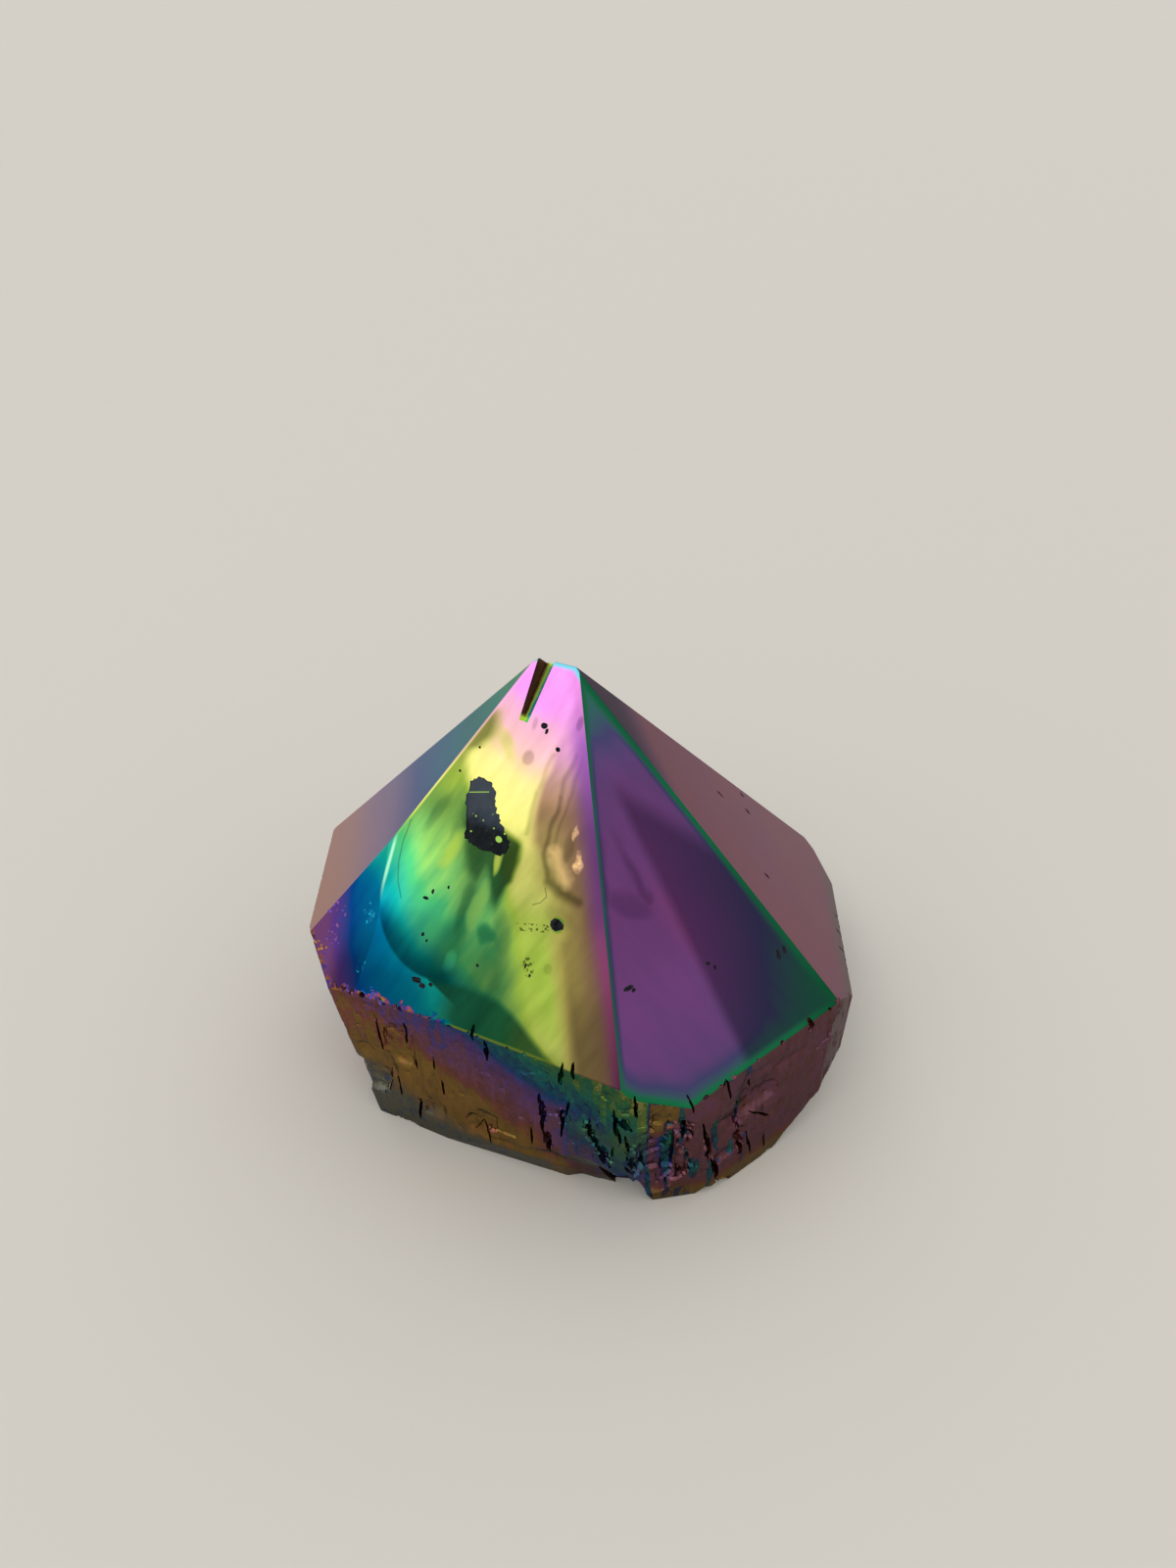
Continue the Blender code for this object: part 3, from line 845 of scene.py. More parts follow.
def front_left_coat():
    """Pink tip, lemon and lime middle, green left, brown front zone, and the blue corner past a crease."""
    shader = Shader("coat_front_left")
    face = POLISHED["front_left"]
    chart = shader.chart(face)
    u, v = chart.u, chart.v
    w = shader.inset(face, POLISHED["front_right"])
    wave = chart.streaks(112, 1.6, 7) - 0.5
    shares = front_left_shares(v, w)
    look = Look(front_left_order(u, v, w, wave, shares), front_left_light(v, w, wave, shares))
    # Painted dark reflection below the flake: the coat turns greener and darker there
    dark_reflection = dark_reflections(chart)
    look.order = look.order.towards(7.1, dark_reflection * 0.75)
    look.darken(dark_reflection, 0.8)
    look.darken(front_lines(chart), 0.75)
    lay_painted_glints(look, chart)
    lay_spots(look, chart)
    past = crease_distance(u, v)
    lay_crease(look, v, past)
    lay_painted_girdle_reflection(look, chart, wave)
    corner = past.rise(-0.15, 0.25) * u.fall(-4, -0.5)
    look.lay(corner, *corner_film(u, v, wave))
    lay_ragged_edge(look, shader, corner)
    # Painted highlights: a thin light line along the left edge and on the crease's crest, which is also
    # tinted mint
    crest = abs(past).fall(0.05, 0.28) * v.fall(24, 28) * v.rise(20, 22)
    left_edge_highlight = shader.inset(face, POLISHED["left"]).fall(0.05, 0.38).at_most(1 - corner)
    edge_order = v.profile((0, 10.9), (9, 10.3), (15, 9.3), (18, 8.4), (20, 7.3), (38, 7))
    look.lay(left_edge_highlight.at_least(crest), edge_order, 1, 0.8)
    look.darken(small_marks(chart), 0.7)
    coat = shader.film(look.order, look.light * handling(shader), shares[1] * v.rise(8, 14) * 0.5)
    shimmer_order = v.profile((6, 12.9), (21, 12.8), (25, 12.3), (31, 12.05), (38, 12.3))
    shimmer_light = v.profile(
        (6, 1.3), (8, 1.1), (10, 0.9), (12.5, 0.65), (16, 0.45), (21, 0.42), (26, 0.4), (31, 0.28), (38, 0.16)
    )
    shimmer = w.fall(0, v.profile((24, 2.4), (29, 1.7))) * v.rise(2.5, 7)
    colour = shader.mix(shimmer, coat, shader.film(shimmer_order, shimmer_light, 0))
    # Painted cyan highlight along the tip's edges with the back right and right faces
    tip = greatest(*(shader.inset(face, POLISHED[name]).fall(0.25, 0.7) for name in ("back_right", "right")))
    colour = shader.mix(tip, colour, rgba(TIP_HIGHLIGHT_CYAN))
    colour = shader.mix(crest * 0.6, colour, rgba(CREST_HIGHLIGHT_MINT))
    return shader.finish(colour, 0.17)


def front_right_coat():
    """Second violet with a dark wedge and soft dark marks, both painted reflections, and a soft green rim
    along every edge.
    """
    shader = Shader("coat_front_right")
    face = POLISHED["front_right"]
    chart = shader.chart(face)
    u, v = chart.u, chart.v
    wave = chart.streaks(72, 2.2, 12) - 0.5
    order = v.profile(
        (2, 14.9), (6, 14.6), (11, 13.8), (15, 13.3), (22, 13.05), (32, 13), (38, 13.15), (48, 13.8)
    )
    order = order + wave * 0.5 + (u - 2).at_least(0) * 0.03
    light = v.profile((2, 0.9), (10, 0.88), (16, 0.72), (22, 0.7), (28, 0.66), (36, 0.76), (48, 0.8))
    # Painted dark reflection: a wedge that widens downwards over the face
    wedge_side = v.profile((15, 0.4), (20, 0.6), (25, 1.1), (32, 1.6), (39, 2.2), (48, 3))
    wedge_top = v - 14.6 - (u - 0.4) * 1.16
    wedge = (u - wedge_side).rise(-0.7, 1) * wedge_top.rise(-1.8, 2.6)
    look = Look(order + wedge * (u - 2).at_least(0) * 0.085, light.towards(0.36 + wave * 0.06, wedge))
    stirred = chart.stirred(3, 1.6)
    # Painted dark reflections darken the face
    look.darken(violet_dark_reflections(stirred), 0.42)
    rim = shader.inset(face, POLISHED["front_left"]).fall(0, 0.9) * 0.85
    rim = rim.at_least(shader.inset(face, POLISHED["right"]).fall(0.2, 1.3))
    feet = []
    for side in ("front_right", "front_corner", "front_tip", "right_front_corner"):
        inset = shader.inset(face, SIDES[side])
        rim = rim.at_least(inset.fall(0.2, 1.1))
        feet.append(inset.fall(0.4, 3.4))
    corner = (stirred.u - 9.5).rise(0, 6.5) * stirred.v.rise(37, 46)
    look.order = look.order.towards(14.6, greatest(*feet, corner) * 0.75)
    rim_light = stirred.v.profile((0, 0.6), (8, 0.5), (20, 0.62), (34, 0.5), (42, 0.6), (48, 0.95))
    look.lay(rim, 15, rim_light - corner * 0.3, 0.9)
    return shader.finish(shader.film(look.order, look.light * handling(shader), 0.45), 0.2)


def violet_dark_reflections(chart):
    """Painted dark reflections on the front right face, soft and arrow-shaped: 1 where darkest."""
    return greatest(
        chart.stroke((-1.9, 17.6), (-0.9, 26.6), 2) * chart.v.rise(16.5, 24) * 0.8,
        chart.stroke((-2.9, 17.3), (-5.2, 25), 1.8) * chart.v.rise(16, 22) * 0.6,
        chart.spot((-3.1, 26.5), (3.6, 1.9), 34) * 0.6,
    )


def left_coat():
    """Hazy sea green at the tip, through blue and mauve to tan at the girdle."""
    shader = Shader("coat_left")
    chart = shader.chart(POLISHED["left"])
    v = chart.v
    order = (v + chart.u * 0.1).profile(
        (0, 7.1), (7, 6.3), (13, 5.5), (17, 4.95), (21, 4.35), (25, 3.7), (29, 3.2), (33, 2.5), (37, 1.5),
        (42, 1)
    )
    order = order + (shader.noise(8) - 0.5) * 0.6
    haze = v.profile((0, 0.15), (12, 0.05), (17, 0.07), (21, 0.1), (25, 0.2), (30, 0.38), (42, 0.42))
    light = v.profile((0, 0.7), (12, 0.75), (17, 1.1), (24, 1.35), (30, 1.5), (42, 1.5)) * handling(shader)
    return shader.finish(shader.mix(haze, shader.film(order, light), TAN_HAZE), 0.28, edge_tint=0.9)


def right_coat():
    """Mauve, plum at the tip and greyer at the far girdle."""
    shader = Shader("coat_right")
    face = POLISHED["right"]
    chart = shader.chart(face)
    order = 2.05 + (shader.noise(10) - 0.5) * 0.6
    tip = (chart.v + chart.u * 0.5).fall(9.5, 17.5)
    light = chart.v.profile((0, 1), (20, 1.3), (45, 1.45), (60, 1.3)).towards(0.33, tip) * handling(shader)
    foot = shader.inset(face, SIDES["right"]).fall(0.3, 3.6) * 0.6
    colour = shader.mix(foot, shader.film(order.towards(2.7, tip), light, 0.15), GREY_GIRDLE)
    return shader.finish(colour, 0.24)


def back_look(shader, chart, leans, orders, lights, grain):
    """Cloudy bands of a back face, each lying aslant by its own lean."""
    order = (chart.v + chart.u * leans[0]).profile(*orders)
    order = order + (shader.noise(grain, 2, (1, 1, 0.4)) - 0.5) * 0.9
    light = (chart.v - chart.u * leans[1]).profile(*lights)
    return Look(order, light * handling(shader))


def back_right_coat():
    """Rose and purple with slate bands and a green rim."""
    shader = Shader("coat_back_right")
    face = POLISHED["back_right"]
    orders = ((0, 14.2), (14, 13.2), (26, 12.4), (38, 13.1), (52, 13.9))
    lights = ((0, 0.9), (16, 1), (28, 0.75), (36, 0.98), (52, 0.85))
    look = back_look(shader, shader.chart(face), (0.6, 0.4), orders, lights, 7)
    rim = shader.inset(face, POLISHED["right"]).fall(0.3, 1.2)
    rim = rim.at_least(shader.inset(face, SIDES["back_right"]).fall(0.4, 1.5))
    return shader.finish(shader.film(look.order.towards(15, rim), look.light), 0.22)


def back_left_coat():
    """Teal at the tip, lime and gold bands down to rose at the girdle."""
    shader = Shader("coat_back_left")
    orders = ((0, 5.6), (12, 6.6), (22, 7.8), (30, 9), (38, 10.4), (48, 12))
    lights = ((0, 0.8), (10, 0.72), (20, 0.86), (32, 0.8), (48, 0.66))
    look = back_look(shader, shader.chart(POLISHED["back_left"]), (0.7, 0.3), orders, lights, 6)
    return shader.finish(shader.film(look.order, look.light), 0.18)

# --- Coats of the raw stone ---


class RawZones:
    """Places on the natural sides and the noises that their films share."""

    def __init__(self, shader):
        left, corner, right = (SIDES[name] for name in ("front_left", "front_corner", "front_right"))
        self.along, self.right_along = shader.across(left), shader.across(right)
        self.height = shader.along(UP)
        self.slope = self.height - self.along * 0.3
        self.left = shader.along(left.normal, left.reach).rise(-4.5, -2.5)
        self.right = shader.across(corner).rise(10.9, 11.5)
        self.front = shader.along(right.normal, right.reach).rise(-3.2, -2).at_least(self.left)
        self.near_corner = self.along.rise(8, 15) * self.along.fall(23.5, 26)
        self.low_corner = self.near_corner * self.height.fall(11, 15) * (1 - self.right)
        self.patch = shader.noise(3.2, 3) - 0.5
        self.grain = shader.noise(0.6) - 0.5
        self.jump = shader.cells(0.8, (1, 1, 0.35)) - 0.5
        facing = shader.facing(left.normal).towards(shader.facing(right.normal), self.right)
        self.wall = facing.fall(0.3, 0.85) * self.front
        self.under = shader.facing(-UP).rise(0.25, 0.5)
        self.veins = shader.noise(1.3, 2, (1, 1, 0.25)).rise(0.57, 0.62) * self.right_along.fall(0, 3)


def raw_left_order(zones):
    """Film order of the front left side: gold, rust and violet bands aslant, blue and green by the corner."""
    step = zones.along.rise(11, 12.5) * zones.height.fall(11, 14) * 7.5
    diagonal = zones.along + zones.height * 1.94 + zones.patch * 5 + step
    order = diagonal.profile(
        (10, 0), (19, 0.1), (22, 0.9), (25, 1.8), (29, 2.3), (34, 2.8), (37, 3.4), (39.5, 4.4), (42, 5.1),
        (46, 6.1), (49, 6.9), (52, 7.5), (56, 8)
    )
    order = order + zones.jump * (zones.near_corner * 2 + 0.7)
    order = order + (zones.patch * 2.6 + zones.grain) * diagonal.fall(20, 28)
    rust = zones.slope.rise(13.5, 16.5) * zones.along.fall(-3, 1)
    return order + (zones.jump * 1.4 + zones.grain * 1.2 + 0.4) * rust


def raw_right_order(shader, zones):
    """Film order of the front right side: plum with a gold fringe, and green and blue veins."""
    fringe = Chart(shader, zones.right_along, zones.height).spot((-9.3, 15.2), (2.8, 3.6), 0, 0.9)
    fringe = fringe.at_least(zones.height.fall(0.5, 3.5))
    order = 1.8 + zones.patch * 0.9 + zones.jump * 0.6 - fringe * 2.3
    return order.towards(zones.jump * 4 + 6.3, zones.veins * 0.8)


def raw_order(shader, zones, left_order):
    """Film order of all sides; slit walls and steps turn away and change colour with it."""
    far_order = shader.noise(26, 1).profile((0.3, 0.4), (0.45, 2), (0.52, 3.4), (0.6, 5.2), (0.7, 6.6))
    order = (far_order + zones.patch * 2 + zones.jump).towards(left_order, zones.left)
    order = order.towards(raw_right_order(shader, zones), zones.right * zones.front)
    slant = shader.facing(SIDES["front_right"].across)
    turned = (slant.at_least(0) * -3).towards(slant * -3.4, 1 - zones.right)
    order = order + turned * zones.wall + zones.grain * 1.2
    return order.towards(0.4, zones.under * 0.8)


def raw_light(zones, left_order):
    """How light the raw film looks: painted reflection brightness, with painted shade on faces that look down
    and painted light on the walls of slits and steps.
    """
    light = left_order.profile((-1, 0.9), (1, 0.78), (3, 0.95), (4.5, 0.6), (6, 0.38), (8, 0.26), (10, 0.26))
    light = light.towards(0.6 - zones.veins * 0.32, zones.right)
    cloud = 1 + zones.patch * 0.5 + zones.grain * 0.5 + zones.jump * 0.4
    # Painted light on the walls, painted shade on faces that look down
    return light * (cloud + zones.wall * 0.4 - zones.under * 0.4) * (1 - zones.low_corner * 0.3)


def raw_coat():
    """Patchy film of the natural sides, veiled with bare grey stone at the foot and underneath."""
    shader = Shader("coat_raw")
    zones = RawZones(shader)
    along, height = zones.along, zones.height
    left_order = raw_left_order(zones)
    film = shader.film(raw_order(shader, zones, left_order), raw_light(zones, left_order), 0.2)
    grey_foot = (height + along * 0.45 + shader.noise(1.6) * 3).fall(1.5, 6) * zones.left
    strip = (height - zones.patch * 2).fall(2.2, 3.2) * along.fall(8.5, 10.5) * zones.left
    bare = zones.under.at_least(grey_foot.at_least(strip)) * 0.72 + zones.low_corner * 0.2 + 0.18
    veil = shader.mix(shader.noise(0.9).rise(0.55, 0.65), GREY_STONE, BLUE_STONE)
    # Painted glints: bright specks of film near the front corner and on the walls
    glint = shader.specks(0.55, 0.2) * shader.noise(2.4, 1).rise(0.6, 0.68)
    glint = glint * zones.near_corner.at_least(zones.wall)
    glint_film = shader.film(zones.jump * 16 + 7, 0.9 + zones.grain, 0)
    colour = shader.mix(glint * 0.7, shader.mix(bare, film, veil), glint_film)
    rough_top = 1 + zones.slope.rise(12, 18) * zones.left * 1.5
    return shader.finish(colour, 0.3, bump=shader.noise(0.5, 3, (1, 1, 0.6)) * rough_top, bump_depth=0.08)


def groove_coat():
    """Walls of the tip groove: dark brown, a green and yellow middle, and a blue lip."""
    shader = Shader("coat_groove")
    chart = shader.chart(POLISHED["front_left"])
    v = chart.v
    slant = chart.u + v * 0.118 + 1.65
    side = (slant + (shader.noise(0.9) - 0.5) * 0.3) / v.profile((-2, 1.25), (2, 0.95), (5.5, 0.5))
    look = Look(
        side.profile((-0.6, 8.6), (-0.2, 8.3), (0.15, 7.6), (0.35, 6.6), (0.55, 5), (1.5, 4.6)),
        side.profile((-0.6, 0.35), (-0.15, 0.6), (0.1, 1.1), (0.4, 1), (0.6, 1.2), (1.5, 1.3)),
    )
    ends = (v.fall(-1.2, -0.2) * side.rise(-0.1, 0.2)).at_least(v.rise(4.6, 5.2))
    look.lay(ends * 0.7, 8, 1.6)
    wall = shader.film(side * 0.6 + 1.5, 0.32)
    colour = shader.mix(side.rise(-0.4, 0.1).at_least(ends), wall, shader.film(look.order, look.light))
    return shader.finish(colour, 0.3, metallic=0.5)


def flake_coat():
    """Bare slate-grey quartz where the coat flaked off, with specks of coat left."""
    shader = Shader("bare_flake")
    chart = shader.chart(POLISHED["front_left"])
    v = chart.v
    lower = (v + (shader.noise(1.2) - 0.5) * 2).rise(15.8, 17.6)
    specks = shader.specks(0.6, 0.25) * (v + chart.u * 0.4).rise(12.5, 14.5)
    specks = specks * shader.noise(1.8, 1).rise(0.44, 0.56)
    seam = chart.stroke((-6.1, 14.1), (-3.9, 13.5), 0.11, 0.4)
    coat_left = greatest(specks, chart.spot((-1.4, 17.9), (0.42, 0.34), 20, 0.3), seam)
    grey = (shader.noise(0.8, 3) - 0.5) * 0.03 + v.fall(13, 17) * 0.015
    slate = {name: grey + level - lower * drop for name, level, drop in SLATE}
    slate = shader.add("CombineColor", {}, slate)
    shader.surface.inputs["Specular IOR Level"].default_value = 0.15
    colour = shader.mix(coat_left, slate, shader.film(7.2 + shader.noise(1.5) * 0.9, 0.85 + grey))
    bump = shader.noise(0.5, 3) * (lower + 0.1)
    return shader.finish(colour, 0.28, metallic=coat_left, bump=bump, bump_depth=0.06)


def glint_coat():
    """Little facets on the rough corner, painted bright as glints: blue by the crease, violet, then orange at
    the far left.
    """
    shader = Shader("coat_glint")
    chart = shader.chart(POLISHED["left_corner_upper"])
    order = chart.u.profile((-15, 3.4), (-12.5, 2.7), (-11, 4.6), (-9, 5), (-6, 3.6))
    order = order.towards(0.4, chart.v.rise(39.6, 40.2) * chart.u.fall(-12.5, -11.5))
    order = order + (shader.noise(0.5) - 0.5) * 2.5
    return shader.finish(shader.film(order, shader.noise(0.4) * 1.2 + 1, 0), 0.25, metallic=0.7)


def pit_shade_coat():
    """Painted shade: dark insides of the pits in the polished faces."""
    return Shader("coat_pit_shade").finish(rgba(PIT_SHADE_GREY), 0.7, metallic=0)


COATS = {
    "raw": raw_coat, "front_left": front_left_coat, "front_right": front_right_coat,
    "right": right_coat, "back_right": back_right_coat, "back_left": back_left_coat,
    "left": left_coat, "groove": groove_coat, "flake": flake_coat, "pit": pit_shade_coat,
    "glint": glint_coat,
}

# --- Shapes ---


def clamp(value, low=0):
    return min(max(value, low), 1)


def columns(*ways):
    """Matrix whose own axes point three ways."""
    return Matrix(ways).transposed()


def hold_mesh(name, mesh, materials):
    """Put a bmesh into a new object with its materials."""
    data = bpy.data.meshes.new(name)
    mesh.to_mesh(data)
    mesh.free()
    for material in materials:
        data.materials.append(material)
    item = bpy.data.objects.new(name, data)
    bpy.context.scene.collection.objects.link(item)
    return item


def freeze(target):
    """Turn an object's modifiers into plain mesh."""
    graph = bpy.context.evaluated_depsgraph_get()
    graph.update()
    settled = bpy.data.meshes.new_from_object(target.evaluated_get(graph))
    target.modifiers.clear()
    old = target.data
    target.data = settled
    bpy.data.meshes.remove(old)


def cut(target, operation, cutters):
    """Boolean the target with closed shapes, which are used up."""
    tools = bpy.data.collections.new("tools")
    for cutter in cutters:
        tools.objects.link(cutter)
    modifier = target.modifiers.new("cut", "BOOLEAN")
    modifier.operation = operation
    modifier.solver = "MANIFOLD"
    modifier.material_mode = "TRANSFER"
    if len(cutters) > 1:
        modifier.operand_type = "COLLECTION"
        modifier.collection = tools
    else:
        modifier.object = cutters[0]
    freeze(target)
    for cutter in cutters:
        mesh = cutter.data
        bpy.data.objects.remove(cutter)
        bpy.data.meshes.remove(mesh)
    bpy.data.collections.remove(tools)


def fine_skin(material, step):
    """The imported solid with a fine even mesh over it."""
    graph = bpy.context.evaluated_depsgraph_get()
    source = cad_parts[NODE].evaluated_get(graph)
    data = bpy.data.meshes.new_from_object(source)
    stone = bpy.data.objects.new("quartz_stone", data)
    bpy.context.scene.collection.objects.link(stone)
    remesh = stone.modifiers.new("skin", "REMESH")
    remesh.mode = "VOXEL"
    remesh.voxel_size = step * MM
    freeze(stone)
    stone.data.materials.clear()
    stone.data.materials.append(material)
    return stone


def smooth_foot(place):
    """How far a place near the ground is off the smooth undercut of the front left side."""
    side = SIDES["front_left"]
    along, out = place.dot(side.across), place.dot(side.normal)
    start, slope, lean, most = UNDERCUT
    target = min(start + slope * along + lean * place.z, most)
    share = clamp((UNDERCUT_TOP[0] - place.z) / UNDERCUT_TOP[1])
    share *= (clamp((along - UNDERCUT_LEFT[0]) / UNDERCUT_LEFT[1])
              * clamp((UNDERCUT_RIGHT[0] - along) / UNDERCUT_RIGHT[1]))
    share *= clamp((out - target - UNDERCUT_INSIDE[0]) / UNDERCUT_INSIDE[1])
    return side.normal * (target - out) * share


def growth_steps(place, along):
    """Depth of the blocky growth steps at a place on a raw side."""
    warp = noise.noise(place / BLOCK_WARP_SIZE) * BLOCK_WARP
    steps = 0
    for salt, (width, height, depth) in enumerate(BLOCKS):
        block = Vector((along / width + warp, place.z / height + warp, salt + 0.5))
        steps += depth * noise.cell(block)
    return steps


def raw_relief(place, normal, busy_middle, grain_height):
    """How far the raw skin stands out: grain and natural pits, less the growth steps."""
    side = max(SIDES.values(), key=lambda plane: normal.dot(plane.normal))
    busy = max(0, 1 - (place - busy_middle).length / BUSY_REACH)
    calm = clamp(0.5 + noise.noise(place / CALM_SIZE) * 1.4, 0.15)
    coarse, fine = (noise.noise(place / size) for size in GRAIN_SIZES)
    grain = coarse + 0.6 * fine
    pit = max(noise.noise(place / RAW_PIT_SIZE + RAW_PIT_SHIFT) - 0.3, 0)
    steps = growth_steps(place, place.dot(side.across)) * (0.55 * calm + 1.1 * busy)
    relief = grain_height * (0.3 + 0.6 * grain - 3 * pit) - steps
    worn = clamp((normal.z + 0.4) / 0.25, 0.1)
    low = clamp((place.z - WORN_FOOT[0]) / WORN_FOOT[1]) if place.x < WORN_LEFT_OF else 1
    flare = FOOT_FLARE * max(0, 1 - place.z / FOOT_FLARE_HEIGHT)
    return relief * worn * low + flare


def weather(stone, grain_height):
    """Relief on the raw skin; what will be ground away is only left proud."""
    normals = [Vector(item.vector) for item in stone.data.vertex_normals]
    busy_middle = SIDES["front_corner"].place(*BUSY_PLACE)
    for vertex, normal in zip(stone.data.vertices, normals):
        place = vertex.co / MM
        clearance = min(plane.reach - place.dot(plane.normal) for plane in POLISHED.values())
        if clearance < GROUND_GAP or place.z < GROUND_GAP:
            vertex.co += normal * PROUD * MM
        else:
            vertex.co += normal * raw_relief(place, normal, busy_middle, grain_height) * MM
        if clearance >= GROUND_GAP:
            vertex.co += smooth_foot(vertex.co / MM) * MM


def split_off(mesh, plane, slot):
    """Remove what lies outside a plane and close the cut with one face of a material slot."""
    geometry = mesh.verts[:] + mesh.edges[:] + mesh.faces[:]
    cut_line = bmesh.ops.bisect_plane(
        mesh, geom=geometry, plane_co=plane.origin * MM, plane_no=plane.normal, dist=1e-7, clear_outer=True
    )
    rim = [item for item in cut_line["geom_cut"] if isinstance(item, bmesh.types.BMEdge)]
    if rim:
        bmesh.ops.edgeloop_fill(mesh, edges=rim, mat_nr=slot)


def slice_through(mesh, faces, middle, normal):
    """Cut some faces of a mesh in two along a plane."""
    edges = {edge for face in faces for edge in face.edges}
    verts = {vert for face in faces for vert in face.verts}
    geometry = [*verts, *edges, *faces]
    bmesh.ops.bisect_plane(mesh, geom=geometry, plane_co=middle, plane_no=normal, dist=1e-8)


def ground_form(materials, softness, dents):
    """Convex form that the stone is ground to: softened edges, sliced into cells and at each dent."""
    slots = list(materials)
    mesh = bmesh.new()
    bmesh.ops.create_cube(mesh, size=BLANK_SIZE * MM)
    base = Plane(0, 180, [Vector((0, 0, 0))])
    base.origin = Vector((0, 0, 0))
    for plane in (*SIDES.values(), base):
        split_off(mesh, plane, slots.index("raw"))
    for name, plane in POLISHED.items():
        split_off(mesh, plane, slots.index(name if name in materials else "front_left"))
    bmesh.ops.recalc_face_normals(mesh, faces=mesh.faces[:])
    form = hold_mesh("ground_form", mesh, materials.values())
    soften = form.modifiers.new("soft_edges", "BEVEL")
    soften.width = softness * MM
    soften.segments = 2
    soften.limit_method = "ANGLE"
    soften.angle_limit = math.radians(SHARPER_THAN)
    freeze(form)
    mesh = bmesh.new()
    mesh.from_mesh(form.data)
    for axis in range(2):
        for step in range(-CELLS_EACH_WAY, CELLS_EACH_WAY + 1):
            middle, normal = Vector(), Vector()
            middle[axis] = (step + CELL_SHIFT) * CELL_SIZE * MM
            normal[axis] = 1
            slice_through(mesh, mesh.faces[:], middle, normal)
    reach = CELL_SIZE * MM
    for _, place, basis, _ in dents:
        middle = place * MM
        for normal in (basis.col[0], basis.col[1]):
            near = [face for face in mesh.faces if (face.calc_center_median() - middle).length < reach]
            slice_through(mesh, near, middle, normal)
    mesh.to_mesh(form.data)
    mesh.free()
    return form


def rough_pebble(name, place, basis, size, chance, material, steps=2):
    """Small rough lens: the tool that leaves one slit, pit or chip."""
    mesh = bmesh.new()
    bmesh.ops.create_icosphere(mesh, subdivisions=steps, radius=0.5)
    for vertex in mesh.verts:
        vertex.co *= 1 + chance.uniform(-PEBBLE_ROUGHNESS, PEBBLE_ROUGHNESS)
    scale = Matrix.Diagonal((*[length * MM for length in size], 1))
    mesh.transform(Matrix.Translation(place * MM) @ basis.to_4x4() @ scale)
    return hold_mesh(name, mesh, [material])


def slit_tools(material, depth, chance):
    """Ragged rows of blades for all slits: set places in front, seeded ones behind."""
    rows = [(side, *row) for side, side_rows in SLITS.items() for row in side_rows]
    for side in HIDDEN_SIDES:
        for _ in range(HIDDEN_SLITS):
            rows.append((side, *(chance.uniform(*span) for span in HIDDEN_SPANS)))
    tools = []
    for side, along, height, length, tilt, width in rows:
        plane = SIDES[side]
        roll = Matrix.Rotation(math.radians(tilt), 3, plane.normal)
        basis = roll @ columns(plane.across, -plane.normal, plane.down * -1)
        middle = plane.place(along, GIRDLE_HEIGHT - height)
        count = max(1, round(length / BLADE_LENGTH))
        for step in range(count):
            share = (step + 0.5) / count - 0.5
            offset = Vector((chance.uniform(-0.35, 0.35) * width, 0, share * length))
            narrow = width * (1 - abs(share)) * chance.uniform(0.7, 1.15)
            size = (narrow, 2 * depth * chance.uniform(0.5, 1), length / count * BLADE_OVERLAP)
            tools.append(rough_pebble("slit", middle + basis @ offset, basis, size, chance, material))
    return tools


def chip_tools(material, chance):
    """Chips where the polished faces meet the raw sides, and on the rough corner."""
    tools = []
    for name, side_name, count, start, end, largest in GIRDLE_CHIPS:
        face, side = POLISHED[name], SIDES[side_name]
        planes = Matrix((face.normal, side.normal, side.across)).inverted()
        for _ in range(count):
            along = chance.uniform(start, end)
            place = planes @ Vector((face.reach, side.reach, side.origin.dot(side.across) + along))
            size = [chance.uniform(0.35, 1) * largest for axis in range(3)]
            basis = Matrix.Rotation(chance.uniform(0, math.pi), 3, side.normal)
            tools.append(rough_pebble("chip", place, basis, size, chance, material, 1))
    return tools


def foot_tools(material, chance):
    """Trims the front foot to its slanting left end and its blunt right end."""
    side = SIDES["front_corner"]
    start, end = FOOT_SLANT
    run = Vector((end[0] - start[0], end[1] - start[1])).normalized()
    along = side.across * run.x + UP * run.y
    out = along.cross(side.normal).normalized()
    middle = side.place(start[0], GIRDLE_HEIGHT - start[1])
    middle = middle + out * FOOT_BLOCK[0] / 2 + along * FOOT_BLOCK[1] / 2
    mesh = bmesh.new()
    bmesh.ops.create_cube(mesh, size=MM)
    turn = columns(out, along, side.normal).to_4x4()
    mesh.transform(Matrix.Translation(middle * MM) @ turn @ Matrix.Diagonal((*FOOT_BLOCK, 1)))
    side = SIDES["front_right"]
    basis = columns(side.across, side.normal, side.down)
    place = side.place(FOOT_CHIP[0], GIRDLE_HEIGHT - FOOT_CHIP[1])
    chip = rough_pebble("foot_chip", place, basis, FOOT_CHIP_SIZE, chance, material, 3)
    return [hold_mesh("foot_slant", mesh, [material]), chip]


def small_dents(chance):
    """Pits of the polished faces and glints of the rough corner: kind, place, how turned, and size."""
    dents = []
    for name, pits in PITS.items():
        face = POLISHED[name]
        basis = columns(face.across, face.down * -1, face.normal)
        for across, down, width, height in pits:
            size = (width * PIT_SPREAD, height * PIT_SPREAD, PIT_DEPTH * min(width, height))
            dents.append(("pit", face.place(across, down), basis, size))
    clusters = [(POLISHED[name], middle) for name, middles in GLINT_CLUSTERS.items() for middle in middles]
    for index in range(GLINTS):
        face, middle = clusters[index % len(clusters)]
        place = face.place(*(way + chance.gauss(0, spread) for way, spread in zip(middle, GLINT_SPREAD)))
        turn = Matrix.Rotation(chance.uniform(0, math.pi), 3, face.normal)
        basis = turn @ columns(face.across, face.down * -1, face.normal)
        size = (chance.uniform(*GLINT_WIDTHS), chance.uniform(*GLINT_LENGTHS), GLINT_DEPTH)
        dents.append(("glint", place, basis, size))
    return dents


